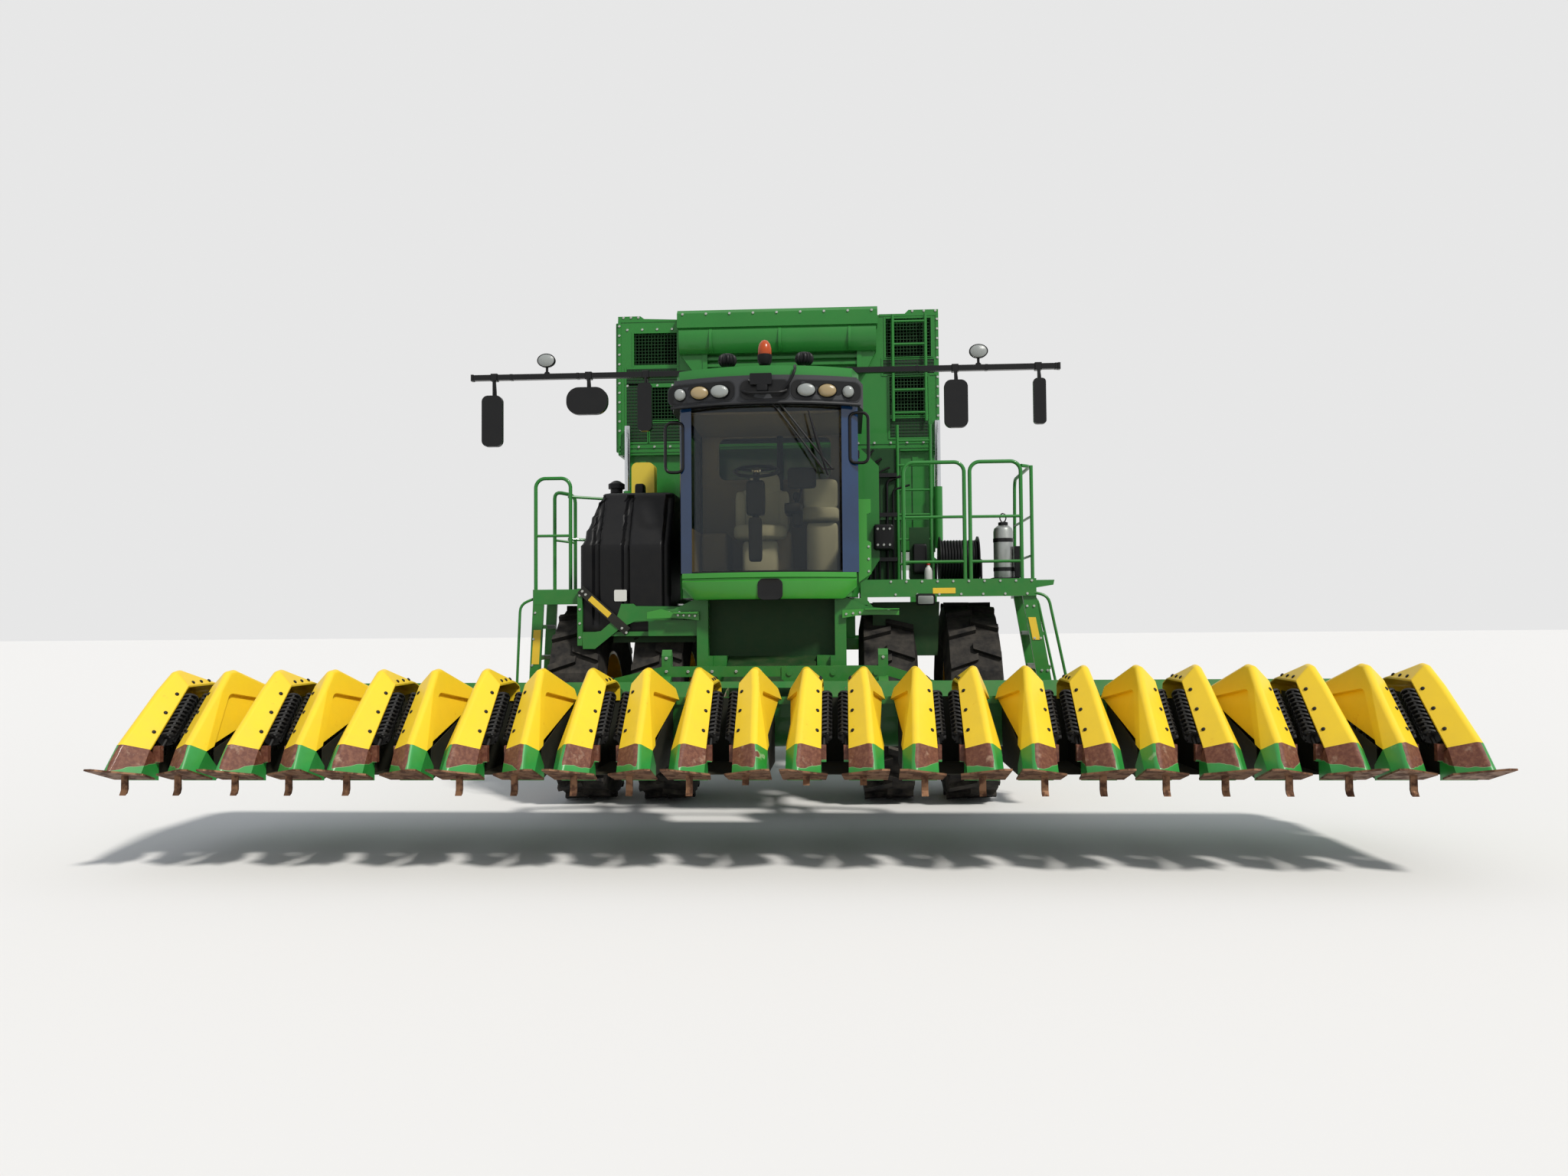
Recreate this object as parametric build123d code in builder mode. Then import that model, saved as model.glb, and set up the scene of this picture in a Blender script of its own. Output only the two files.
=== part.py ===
"""Twelve-row cotton stripper with its header raised, in millimetres.

The front of the machine looks along -Y and +X is the operator's left.
The origin is on the floor, under the middle of the header and half way along the machine.
The machine's own centre line stands a little to the right of the header's, at machine_x.
"""
import os
from math import atan2, cos, degrees, radians, sin, tan

from build123d import *

os.makedirs("parts", exist_ok=True)

# Whole machine
overall_length = 8900
shoe_reach = 180
tine_line = -overall_length / 2 + shoe_reach
machine_x = -200
cab_x = -230
seat_gap = 0.3
pin_gap = 0.05
running_gap = 6

# Rows of the header
rows = 12
row_pitch = 762
row_mouth = 180
unit_side_x = 300
unit_sheet = 6
header_margin = 23
header_half = (rows - 1) / 2 * row_pitch + unit_side_x + unit_sheet + header_margin

# Wheels
front_tyre_radius = 925
front_tyre_width = 528
front_rim_radius = 483
dual_spacing = 762
dual_inner_x = 1041
front_axle_y = tine_line + 3500
rear_tyre_radius = 640
rear_tyre_width = 380
rear_rim_radius = 318
rear_wheel_x = 1150
kingpin_x = 820
rear_axle_y = tine_line + 6900

# Frame
rail_x = 460
rail_width = 120
rail_bottom = 1120
rail_top = 1380
rail_front = tine_line + 2600
rail_rear = overall_length / 2 - 160

# Header lift
lift_pivot_y = tine_line + 2750
lift_pivot_z = 1150
lift_arm_x = 640
lift_arm_width = 80
lift_pin_radius = 40

# Cab
cab_front = tine_line + 2300
cab_rear = tine_line + 3900
cab_half = 800
cab_corner = 740
cab_bow = 180
cab_floor = 2100
cab_eave = 3570
cab_wall = 45
glass_thickness = 8
sill_bottom = 1890

# Basket
basket_left = -1940
basket_right = 1450
basket_front = tine_line + 4400
basket_length = 4100
basket_floor = 2400
basket_split = 3460
basket_top_z = 4900
basket_wall = 30
basket_nest = 55
basket_hinge_x = 1420
basket_hinge_z = 2300
basket_pin_radius = 25


def behind(distance):
    """The y of a place this far behind the line of the digger tines."""
    return tine_line + distance


def beam(x, y, z, mode=Mode.ADD):
    """A bar between two values on each axis."""
    with Locations(((x[0] + x[1]) / 2, (y[0] + y[1]) / 2, (z[0] + z[1]) / 2)):
        Box(x[1] - x[0], y[1] - y[0], z[1] - z[0], mode=mode)


def side_plate(x, outline, mode=Mode.ADD):
    """A plate between two x values whose outline is given as (y, z) corners."""
    with BuildSketch(Plane.YZ.offset(x[0])) as profile:
        with BuildLine():
            Polyline(*outline, close=True)
        make_face()
    extrude(profile.sketch, amount=x[1] - x[0], mode=mode)


def front_plate(y, outline, mode=Mode.ADD):
    """A plate between two y values whose outline is given as (x, z) corners."""
    with BuildSketch(Plane.XZ.offset(-y[1])) as profile:
        with BuildLine():
            Polyline(*outline, close=True)
        make_face()
    extrude(profile.sketch, amount=y[1] - y[0], mode=mode)


def rounded_plate(x, y, z, corner, mode=Mode.ADD):
    """A plate between two y values with round corners as seen from the front."""
    with BuildSketch(Plane.XZ.offset(-y[1])) as face:
        with Locations(((x[0] + x[1]) / 2, (z[0] + z[1]) / 2)):
            RectangleRounded(x[1] - x[0], z[1] - z[0], corner)
    extrude(face.sketch, amount=y[1] - y[0], mode=mode)


def rod(start, end, diameter, mode=Mode.ADD):
    """A round bar from one point to another."""
    run = Vector(*end) - Vector(*start)
    with BuildSketch(Plane(origin=start, z_dir=run)) as section:
        Circle(diameter / 2)
    extrude(section.sketch, amount=run.length, mode=mode)


def rail(points, diameter, bend):
    """A bent tube along a route of straight runs with rounded corners."""
    with BuildLine() as route:
        FilletPolyline(*points, radius=bend)
    with BuildSketch(Plane(origin=points[0], z_dir=route.line % 0)) as section:
        Circle(diameter / 2)
    sweep(section.sketch, path=route.line)


def turned(centre, profile, mode=Mode.ADD):
    """A solid of revolution about a line along X, from (x, radius) corners."""
    with BuildSketch(Plane(origin=centre, x_dir=(1, 0, 0), z_dir=(0, -1, 0))) as section:
        with BuildLine():
            Polyline(*profile, close=True)
        make_face()
    revolve(section.sketch, axis=Axis(centre, (1, 0, 0)), mode=mode)


def write(piece, name):
    """Label a finished piece and write its file."""
    piece.part.label = name
    export_step(piece.part, f"parts/{name}.step")


# Half divider: corner points on the side of the row towards +X, as
# (distance from the row's middle, distance behind the tine line, height)
mouth = row_mouth / 2
crest_low = (240, 0, 890)
peak = (210, 560, 1382)
row_edge_low = (mouth, 120, 835)
row_edge_bend = (mouth, 540, 1245)
row_edge_rear = (mouth, 920, 1250)
outer_low = (320, 100, 825)
outer_rear = (340, 1040, 1183)
nose_foot = (255, -120, 720)
hood_rear = 1040
hood_skirt_rear = 1100
hood_wall = 8
hood_round = 36
# Recess in the hood's outer face, as (distance behind the tine line, height) of its core
recess_corners = ((102, 640), (516, 1114), (1100, 1005), (1100, 640))
recess_round = 70
recess_depth = 28
nose_rear = 220
shoe_slope = 18
shoe_top = 742
shoe_thickness = 12
shoe_outer = 350


def point(corner):
    """A half divider's corner in the part's frame, for the row at x = 0."""
    return Vector(corner[0], behind(corner[1]), corner[2])


def facet(a, b, c, inside, inset=0):
    """The plane through three corners, facing away from a point inside, moved in by an inset."""
    a, b, c, inside = point(a), point(b), point(c), point(inside)
    normal = (b - a).cross(c - a).normalized()
    if normal.dot(inside - a) > 0:
        normal = normal * -1
    return Plane(origin=a - normal * inset, z_dir=normal)


heart = (230, 600, 1050)


def shoe_height(distance):
    """The height of the shoe's upper face at a distance behind the tine line."""
    return shoe_top - (distance + shoe_reach) * tan(radians(shoe_slope))


hood_facets = (
    (crest_low, peak, row_edge_low),
    (crest_low, peak, outer_low),
    (peak, outer_rear, outer_low),
    (peak, outer_rear, row_edge_rear),
    (peak, row_edge_bend, row_edge_rear),
)
nose_heart = (230, 150, 760)
nose_facets = ((crest_low, nose_foot, row_edge_low), (crest_low, nose_foot, outer_low))


def rounded_form(facets, inside, rear, inset=0):
    """A block trimmed by sloping facets, with round edges, its faces moved in by an inset."""
    with BuildPart() as form:
        beam((-100, 420), (behind(-400), behind(rear) - hood_round), (400, 1500))
        for corners in facets:
            split(bisect_by=facet(*corners, inside=inside, inset=hood_round), keep=Keep.BOTTOM)
        offset(amount=hood_round - inset, kind=Kind.ARC)
    return form.part


def on_plane(plane, distance, height):
    """The local place on a plane of the point with this distance behind the tine line and height."""
    normal, origin = plane.z_dir, plane.origin
    y = behind(distance)
    x = origin.X - (normal.Y * (y - origin.Y) + normal.Z * (height - origin.Z)) / normal.X
    spot = plane.to_local_coords(Vector(x, y, height))
    return spot.X, spot.Y


def hood_form(inset):
    """The hood's rounded body with the recess in its outer face."""
    floor = facet(peak, outer_rear, outer_low, inside=heart, inset=recess_depth + inset)
    with BuildPart() as form:
        add(rounded_form(hood_facets, heart, hood_rear, inset))
        with BuildSketch(floor) as recess:
            with BuildLine():
                Polyline(*[on_plane(floor, *corner) for corner in recess_corners], close=True)
            make_face()
            offset(amount=recess_round + inset)
        extrude(recess.sketch, amount=100, mode=Mode.SUBTRACT)
    return form.part


def seam_side(x, y, z, side):
    """A block kept below the seam's plane on one side of the crest."""
    ahead = (side[0], side[1] + 105, side[2] - 100)
    with BuildPart() as form:
        beam(x, y, z)
        split(bisect_by=facet(crest_low, side, ahead, inside=(230, 100, 500)), keep=Keep.BOTTOM)
    return form.part


def below_seam(x, y, z):
    """A block kept below the seam between hood and nose, which falls from the crest to both sides."""
    with BuildPart() as form:
        add(seam_side((x[0], crest_low[0]), y, z, row_edge_low))
        add(seam_side((crest_low[0], x[1]), y, z, outer_low))
    return form.part


with BuildPart() as nose_half:
    add(rounded_form(nose_facets, nose_heart, nose_rear + 200))
    add(
        below_seam((mouth, outer_low[0]), (behind(-200), behind(nose_rear)), (500, 1000)),
        mode=Mode.INTERSECT,
    )
    sole = Plane(
        origin=(0, behind(-shoe_reach), shoe_top),
        x_dir=(1, 0, 0),
        z_dir=(0, sin(radians(shoe_slope)), cos(radians(shoe_slope))),
    )
    split(bisect_by=sole, keep=Keep.TOP)
    beam((mouth - 32, mouth + 20), (behind(nose_rear - 40), behind(nose_rear)), (740, 850))

with BuildPart() as hood_half:
    add(hood_form(0))
    add(hood_form(hood_wall), mode=Mode.SUBTRACT)
    split(bisect_by=Plane(origin=(mouth, 0, 0), z_dir=(1, 0, 0)), keep=Keep.TOP)
    add(below_seam((0, 500), (behind(-500), behind(1200)), (200, 1400)), mode=Mode.SUBTRACT)
    side_plate(
        (0, 500),
        [
            (behind(outer_low[1]) - 20, outer_low[2]),
            (behind(outer_low[1]), outer_low[2]),
            (behind(hood_rear + 10), hood_skirt_rear),
            (behind(hood_rear + 10), 200),
            (behind(outer_low[1]) - 20, 200),
        ],
        mode=Mode.SUBTRACT,
    )


row_places = [((i - (rows - 1) / 2) * row_pitch, 0, 0) for i in range(rows)]


def every_row(half):
    """A half divider's piece on both sides of every row."""
    with Locations(*row_places):
        add(half.part)
        add(mirror(half.part, about=Plane.YZ, mode=Mode.PRIVATE))


with BuildPart() as divider_covers:
    every_row(hood_half)
write(divider_covers, "divider_covers")

with BuildPart() as divider_noses:
    every_row(nose_half)
write(divider_noses, "divider_noses")

# Shoe and digger tine of one half divider, the tine a hooked strip
tine_x = 184
tine_width = 44
tine_thickness = 12
tine_foot = 545
shoe_length = 330
shoe_corners = (
    (shoe_outer, 9),
    (shoe_outer - 5, shoe_length),
    (60, shoe_length),
    (45, 170),
    (300, shoe_thickness * tan(radians(shoe_slope))),
)
missing_tines = (5, 23)
stub_tines = (11, 12, 13)
tine_top = shoe_height(0) + 4

with BuildPart() as shoe_half:
    with BuildSketch(sole):
        with BuildLine():
            Polyline(*shoe_corners, close=True)
        make_face()
    extrude(amount=-shoe_thickness)


def tine(foot):
    """A digger strip that hangs from the shoe and hooks forward at its foot."""
    with BuildPart() as strip:
        side_plate(
            (tine_x - tine_width / 2, tine_x + tine_width / 2),
            [
                (behind(-6), tine_top - 12),
                (behind(6), tine_top - 12),
                (behind(10), foot + 40),
                (behind(-2), foot + 12),
                (behind(-26), foot),
                (behind(-8), foot + 34),
            ],
        )
    return strip.part


with BuildPart() as skid_shoes:
    every_row(shoe_half)
    for i in range(2 * rows):
        if i in missing_tines:
            continue
        foot = tine_foot + 70 if i in stub_tines else tine_foot
        strip = tine(foot)
        x = row_places[i // 2][0]
        if i % 2 == 0:
            strip = mirror(strip, about=Plane.YZ, mode=Mode.PRIVATE)
        with Locations((x, 0, 0)):
            add(strip)
write(skid_shoes, "skid_shoes")

# Stripper rolls: three brushes and three bats in turn, parallel to the hood's edge
roll_x = 76
roll_radius = 55
roll_core = 40
roll_depth = 78
roll_start = 150
roll_end = 540
edge_run = Vector(0, row_edge_bend[1] - row_edge_low[1], row_edge_bend[2] - row_edge_low[2]).normalized()
edge_back = Vector(0, edge_run.Z, -edge_run.Y)
roll_origin = point((roll_x, row_edge_low[1], row_edge_low[2])) + edge_back * roll_depth
stub_radius = 15
stub_start = (behind(nose_rear) + seat_gap - roll_origin.Y + stub_radius * edge_run.Z) / edge_run.Y

with BuildPart() as roll_half:
    with BuildSketch(Plane(origin=roll_origin + edge_run * roll_start, x_dir=(1, 0, 0), z_dir=edge_run)):
        RegularPolygon(roll_core, 12)
        with PolarLocations(0, 6):
            Rectangle(roll_radius, 14, align=(Align.MIN, Align.CENTER))
    extrude(amount=roll_end - roll_start)
    rod(roll_origin + edge_run * stub_start, roll_origin + edge_run * (roll_end + 30), 2 * stub_radius)

with BuildPart() as stripper_rolls:
    every_row(roll_half)
write(stripper_rolls, "stripper_rolls")

# Row unit frames: side sheets, a slotted inner sheet and a bulkhead in front of the trough
screen_x = 168
unit_rear = 1044
unit_floor = 640
slot_count = 6

with BuildPart() as unit_half:
    side_plate(
        (unit_side_x, unit_side_x + unit_sheet),
        [
            (behind(nose_rear) + seat_gap, shoe_height(nose_rear)),
            (behind(nose_rear) + seat_gap, 830),
            (behind(unit_rear) - seat_gap, 1060),
            (behind(unit_rear) - seat_gap, unit_floor + seat_gap),
            (behind(nose_rear + 140), unit_floor + seat_gap),
        ],
    )
    side_plate(
        (screen_x, screen_x + unit_sheet),
        [
            (behind(nose_rear) + seat_gap, shoe_height(nose_rear)),
            (behind(nose_rear) + seat_gap, 740),
            (behind(640), 1130),
            (behind(hood_rear - 14), 1150),
            (behind(hood_rear - 14), 1092),
            (behind(unit_rear) - seat_gap, 1092),
            (behind(unit_rear) - seat_gap, unit_floor + seat_gap),
            (behind(nose_rear + 140), unit_floor + seat_gap),
        ],
    )
    for i in range(slot_count):
        y = behind(380 + i * 90)
        side_plate(
            (screen_x - 5, screen_x + 15),
            [(y, 760 + i * 30), (y + 55, 760 + i * 30), (y + 55, 900 + i * 30), (y, 900 + i * 30)],
            mode=Mode.SUBTRACT,
        )
    bearing = roll_origin + edge_run * (roll_end + 15)
    rod(
        (roll_x + stub_radius + seat_gap, bearing.Y, bearing.Z),
        (screen_x + 2, bearing.Y, bearing.Z),
        24,
    )
    side_plate(
        (screen_x, screen_x + unit_sheet),
        [
            (bearing.Y - 16, bearing.Z - 80),
            (bearing.Y - 16, bearing.Z + 12),
            (bearing.Y + 16, bearing.Z + 12),
            (bearing.Y + 30, bearing.Z - 80),
        ],
    )
    half_width = unit_side_x + unit_sheet
    beam((0, half_width), (behind(unit_rear), behind(unit_rear + unit_sheet)), (unit_floor - unit_sheet, 1110))
    beam(
        (0, half_width),
        (behind(nose_rear + 120), behind(unit_rear) - seat_gap),
        (unit_floor - unit_sheet, unit_floor),
    )

with BuildPart() as row_unit_frames:
    every_row(unit_half)
write(row_unit_frames, "row_unit_frames")

# Header frame: trough, main beam, centre bar and lift arms
trough_front = 1056 + seat_gap
trough_rear = 1640
trough_wall = 6
auger_y = 1330
auger_z = 960
auger_radius = 215
auger_tube = 85
auger_stub = 30
trough_radius = auger_radius + 20
beam_front = trough_rear + trough_wall
beam_rear = 1830
outlet_half = 395
outlet = (machine_x - outlet_half, machine_x + outlet_half)
main_bar = (-1070, 800)


with BuildPart() as header_frame:
    with BuildSketch(Plane.YZ.offset(-header_half)) as trough:
        with BuildLine():
            Polyline(
                (behind(auger_y) - trough_radius, auger_z),
                (behind(trough_front), 1110),
                (behind(trough_front), 1110 + trough_wall),
                (behind(trough_front) - trough_wall, 1110 + trough_wall),
                (behind(auger_y) - trough_radius - trough_wall, auger_z),
            )
            ThreePointArc(
                (behind(auger_y) - trough_radius - trough_wall, auger_z),
                (behind(auger_y), auger_z - trough_radius - trough_wall),
                (behind(auger_y) + trough_radius + trough_wall, auger_z),
            )
            Polyline(
                (behind(auger_y) + trough_radius + trough_wall, auger_z),
                (behind(trough_rear) + trough_wall, 1200),
                (behind(trough_rear), 1200),
                (behind(auger_y) + trough_radius, auger_z),
            )
            ThreePointArc(
                (behind(auger_y) + trough_radius, auger_z),
                (behind(auger_y), auger_z - trough_radius),
                (behind(auger_y) - trough_radius, auger_z),
            )
        make_face()
    extrude(trough.sketch, amount=2 * header_half)
    for x in (-header_half, header_half - trough_wall):
        side_plate(
            (x, x + trough_wall),
            [
                (behind(trough_front), 700),
                (behind(trough_front), 1200),
                (behind(beam_front), 1200),
                (behind(beam_front), 700),
            ],
        )
    beam(
        (-header_half, header_half),
        (behind(trough_front) - trough_wall, behind(trough_front)),
        (1060, 1110 + trough_wall),
    )
    beam((-header_half, header_half), (behind(beam_front), behind(beam_rear)), (850, 1060))
    side_plate(
        (outlet[0], outlet[1]),
        [
            (behind(auger_y + 100), 830),
            (behind(auger_y + 100), 1150),
            (behind(beam_rear + 50), 1150),
            (behind(beam_rear + 50), 830),
        ],
        mode=Mode.SUBTRACT,
    )
    for side in (-1, 1):
        rod(
            (side * header_half, behind(auger_y), auger_z),
            (side * (header_half - 60), behind(auger_y), auger_z),
            2 * auger_stub,
        )
    # Centre bar above the outlet, its end posts and the arms that slope down outward
    beam(main_bar, (behind(1930), behind(2010)), (1225, 1310))
    for x in (main_bar[0], main_bar[1] - 80):
        side_plate(
            (x, x + 80),
            [
                (behind(beam_rear - 120), 1060),
                (behind(2010), 1060),
                (behind(2010), 1400),
                (behind(1970), 1450),
                (behind(1930), 1400),
                (behind(1930), 1230),
                (behind(beam_rear - 120), 1100),
            ],
        )
    front_plate(
        (behind(1918), behind(1931)),
        [(-75, 1305), (780, 1305), (780, 1205), (700, 1155), (620, 1200), (480, 1200), (400, 1160),
         (300, 1160), (220, 1200), (80, 1200), (0, 1155), (-75, 1205)],
    )
    for x in (-10, 350, 700):
        rod((x, behind(1906), 1255), (x, behind(1920), 1255), 46)
    for inner, outer in ((main_bar[0], -1860), (main_bar[1], 1360)):
        front_plate(
            (behind(1930), behind(1990)),
            [(inner, 1225), (outer, 1060), (outer, 1125), (inner, 1310)],
        )
        beam(
            (min(outer, outer + 60), max(outer, outer + 60)),
            (behind(beam_rear - 60), behind(1990)),
            (1000, 1110),
        )
    for side in (-1, 1):
        x = machine_x + side * lift_arm_x
        side_plate(
            (x - lift_arm_width / 2, x + lift_arm_width / 2),
            [
                (behind(beam_rear - 80), 860),
                (behind(beam_rear - 80), 1050),
                (lift_pivot_y - 200, lift_pivot_z + 90),
                (lift_pivot_y, lift_pivot_z + 90),
                (lift_pivot_y + 80, lift_pivot_z),
                (lift_pivot_y, lift_pivot_z - 90),
                (lift_pivot_y - 300, lift_pivot_z - 110),
            ],
        )
        rod(
            (x - 60, lift_pivot_y, lift_pivot_z),
            (x + 60, lift_pivot_y, lift_pivot_z),
            2 * (lift_pin_radius + pin_gap),
            mode=Mode.SUBTRACT,
        )
write(header_frame, "header_frame")

# Cross auger: a tube with tilted flight plates that push towards the outlet
auger_half = header_half - trough_wall - running_gap
flight_pitch = 420
flight_start = 500
flight_count = int((auger_half - flight_start - 60) / flight_pitch) + 1
flight_thickness = 8
flight_sides = 12

with BuildPart() as cross_auger:
    rod((-auger_half, behind(auger_y), auger_z), (auger_half, behind(auger_y), auger_z), 2 * auger_tube)
    for side in (-1, 1):
        rod(
            (side * auger_half, behind(auger_y), auger_z),
            (side * (header_half - 60 - running_gap), behind(auger_y), auger_z),
            2 * (auger_stub + pin_gap),
            mode=Mode.SUBTRACT,
        )
    tilt = degrees(atan2(flight_pitch / 2, 2 * auger_radius)) / 2
    for i in range(flight_count):
        for side in (-1, 1):
            x = side * (flight_start + i * flight_pitch)
            with BuildSketch(
                Plane(origin=(x, behind(auger_y), auger_z), z_dir=(cos(radians(tilt)), 0, side * sin(radians(tilt))))
            ) as flight:
                RegularPolygon(auger_radius, flight_sides)
            extrude(flight.sketch, amount=flight_thickness / 2, both=True)
write(cross_auger, "cross_auger")

# Frame: rails with axle seats and header pins, cross members, cab posts, basket posts and drawbar
axle_z = front_tyre_radius
rear_axle_z = rear_tyre_radius
axle_pad = 135
rail_out = rail_x + rail_width / 2
rail_in = rail_x - rail_width / 2
cab_post_x = (cab_x - 580, cab_x + 640)
cab_post_y = behind(2600)
hitch_radius = 16
ram_base_y = front_axle_y - 240
ram_base_z = 800
ram_pin = 20
hitch_y = overall_length / 2 - 60
hitch_z = 700
cross_member_y = (behind(4300), behind(5400), behind(7700), rail_rear - 60)
basket_post_y = (basket_front + 300, basket_front + basket_length - 420)
post_size = 90
basket_post_z = basket_floor - 5
hinge_centre_x = basket_hinge_x - post_size / 2


with BuildPart() as frame_rails:
    for side in (-1, 1):
        x = machine_x + side * rail_x
        beam((x - rail_width / 2, x + rail_width / 2), (rail_front, rail_rear), (rail_bottom, rail_top))
        # Axle seats
        beam((x - 60, x + 60), (front_axle_y - 150, front_axle_y + 150), (axle_z + axle_pad, rail_bottom))
        side_plate(
            (x - 50, x + 50),
            [
                (rear_axle_y - 90, rear_axle_z + 90),
                (rear_axle_y - 220, rail_bottom),
                (rear_axle_y + 220, rail_bottom),
                (rear_axle_y + 90, rear_axle_z + 90),
            ],
        )
    # Pin blocks of the header lift beside the rails
    for side in (-1, 1):
        x = machine_x + side * rail_out
        rod(
            (x, lift_pivot_y, lift_pivot_z),
            (x + side * (lift_arm_x + lift_arm_width / 2 - rail_out + 25), lift_pivot_y, lift_pivot_z),
            2 * lift_pin_radius,
        )
        side_plate(
            (min(x, x - side * 60), max(x, x - side * 60)),
            [
                (lift_pivot_y - 90, rail_bottom + 40),
                (lift_pivot_y - 90, lift_pivot_z - 60),
                (lift_pivot_y, lift_pivot_z - 100),
                (lift_pivot_y + 120, lift_pivot_z - 60),
                (lift_pivot_y + 160, rail_bottom + 40),
            ],
        )
    # Brackets and pins of the lift cylinders
    for side in (-1, 1):
        x = machine_x + side * rail_out
        side_plate(
            (min(x, x - side * 30), max(x, x - side * 30)),
            [
                (ram_base_y - 50, rail_bottom + 20),
                (ram_base_y - 50, ram_base_z - 20),
                (ram_base_y, ram_base_z - 50),
                (ram_base_y + 50, ram_base_z - 20),
                (ram_base_y + 80, rail_bottom + 20),
            ],
        )
        rod((x, ram_base_y, ram_base_z), (x + side * 66, ram_base_y, ram_base_z), 2 * ram_pin)
write(frame_rails, "frame_rails")

with BuildPart() as frame_cross_members:
    for y in cross_member_y:
        beam(
            (machine_x - rail_in + seat_gap, machine_x + rail_in - seat_gap),
            (y - 60, y + 60),
            (rail_bottom + 30, rail_top - 30),
        )
write(frame_cross_members, "frame_cross_members")

# Posts that carry the cab: front ones on outriggers beside the rails, rear ones on the rails
with BuildPart() as cab_posts:
    for x, side in ((cab_post_x[0], -1), (cab_post_x[1], 1)):
        rail_face = machine_x + side * (rail_out + seat_gap)
        beam((x - 50, x + 50), (cab_post_y - 50, cab_post_y + 50), (rail_top - 100, sill_bottom))
        beam(
            (min(rail_face, x), max(rail_face, x)),
            (cab_post_y - 50, cab_post_y + 50),
            (rail_top - 100, rail_top),
        )
        outer = x + side * 50
        front_plate(
            (cab_post_y - 50, cab_post_y - 10),
            [
                (outer - side * 60, 1720),
                (outer + side * 330, 1735),
                (outer + side * 330, 1790),
                (outer + side * 200, 1800),
                (outer, sill_bottom),
                (outer - side * 60, sill_bottom),
            ],
        )
    for x in (machine_x - rail_x, machine_x + rail_x):
        beam((x - 50, x + 50), (cab_rear - 200, cab_rear - 100), (rail_top + seat_gap, sill_bottom))
write(cab_posts, "cab_posts")

# Basket posts: a rounded hinge post at the operator's left and a rest post at the right
with BuildPart() as basket_posts:
    for y in basket_post_y:
        low, high = y - post_size / 2, y + post_size / 2
        beam((machine_x - 1250, basket_hinge_x), (low, high), (rail_top + seat_gap, rail_top + 120))
        for x in (machine_x - 1250, basket_hinge_x - post_size):
            top = basket_post_z if x < machine_x else basket_hinge_z
            beam((x, x + post_size), (low, high), (rail_top + 100, top))
        rod((hinge_centre_x, low, basket_hinge_z), (hinge_centre_x, high, basket_hinge_z), post_size)
        rod(
            (hinge_centre_x, low - 60, basket_hinge_z),
            (hinge_centre_x, high + 60, basket_hinge_z),
            2 * basket_pin_radius,
        )
write(basket_posts, "basket_posts")

with BuildPart() as drawbar:
    side_plate(
        (machine_x - 60, machine_x + 60),
        [
            (rail_rear - 130, rail_bottom + 30 - seat_gap),
            (rail_rear - 10, rail_bottom + 30 - seat_gap),
            (rail_rear - 10, hitch_z + 20),
            (overall_length / 2, hitch_z + 20),
            (overall_length / 2, hitch_z - 20),
            (rail_rear - 130, hitch_z - 20),
        ],
    )
    rod((machine_x, hitch_y, hitch_z - 30), (machine_x, hitch_y, hitch_z + 30), 2 * hitch_radius, mode=Mode.SUBTRACT)
write(drawbar, "drawbar")

# Front axle: a housing, final drives at its ends and a long spindle for each pair of wheels
front_spindle = 100
spindle_end = dual_inner_x + dual_spacing - 60

with BuildPart() as front_axle:
    turned(
        (machine_x, front_axle_y, axle_z),
        [(-spindle_end, 0), (-spindle_end, front_spindle), (-760, front_spindle), (-760, 190), (-600, 190),
         (-540, 130), (540, 130), (600, 190), (760, 190), (760, front_spindle), (spindle_end, front_spindle),
         (spindle_end, 0)],
    )
    for side in (-1, 1):
        x = machine_x + side * rail_x
        beam((x - 60, x + 60), (front_axle_y - 120, front_axle_y + 120), (axle_z, axle_z + axle_pad))
write(front_axle, "front_axle")

# Rear axle beam with an eye for each kingpin
eye_radius = 65
eye_half = 90
kingpin_radius = 35

with BuildPart() as rear_axle_beam:
    beam(
        (machine_x - kingpin_x + 30, machine_x + kingpin_x - 30),
        (rear_axle_y - 80, rear_axle_y + 80),
        (rear_axle_z - 80, rear_axle_z + 80),
    )
    beam(
        (machine_x - rail_x - 50, machine_x + rail_x + 50),
        (rear_axle_y - 90, rear_axle_y + 90),
        (rear_axle_z + 80, rear_axle_z + 90),
    )
    for side in (-1, 1):
        x = machine_x + side * kingpin_x
        rod((x, rear_axle_y, rear_axle_z - eye_half), (x, rear_axle_y, rear_axle_z + eye_half), 2 * eye_radius)
        rod(
            (x, rear_axle_y, rear_axle_z - 120),
            (x, rear_axle_y, rear_axle_z + 120),
            2 * (kingpin_radius + pin_gap),
            mode=Mode.SUBTRACT,
        )
    # Steering cylinder behind the beam, open at the eyes of its rods
    steer_y = rear_axle_y + 150
    rod((machine_x - 260, steer_y, rear_axle_z), (machine_x + 260, steer_y, rear_axle_z), 80)
    rod((machine_x - 600, steer_y, rear_axle_z), (machine_x + 600, steer_y, rear_axle_z), 36)
    for side in (-1, 1):
        x = machine_x + side * 620
        rod((x, steer_y, rear_axle_z - 22), (x, steer_y, rear_axle_z + 22), 72)
        rod((x, steer_y, rear_axle_z - 30), (x, steer_y, rear_axle_z + 30), 32, mode=Mode.SUBTRACT)
        x = machine_x + side * 200
        beam((x - 25, x + 25), (rear_axle_y + 70, steer_y), (rear_axle_z - 30, rear_axle_z + 30))
write(rear_axle_beam, "rear_axle_beam")

# Knuckles: a fork about the axle's eye, the kingpin and the wheel's spindle
fork_gap = 6
fork_plate = 30
rear_spindle = 45
hub_face = 110

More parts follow.
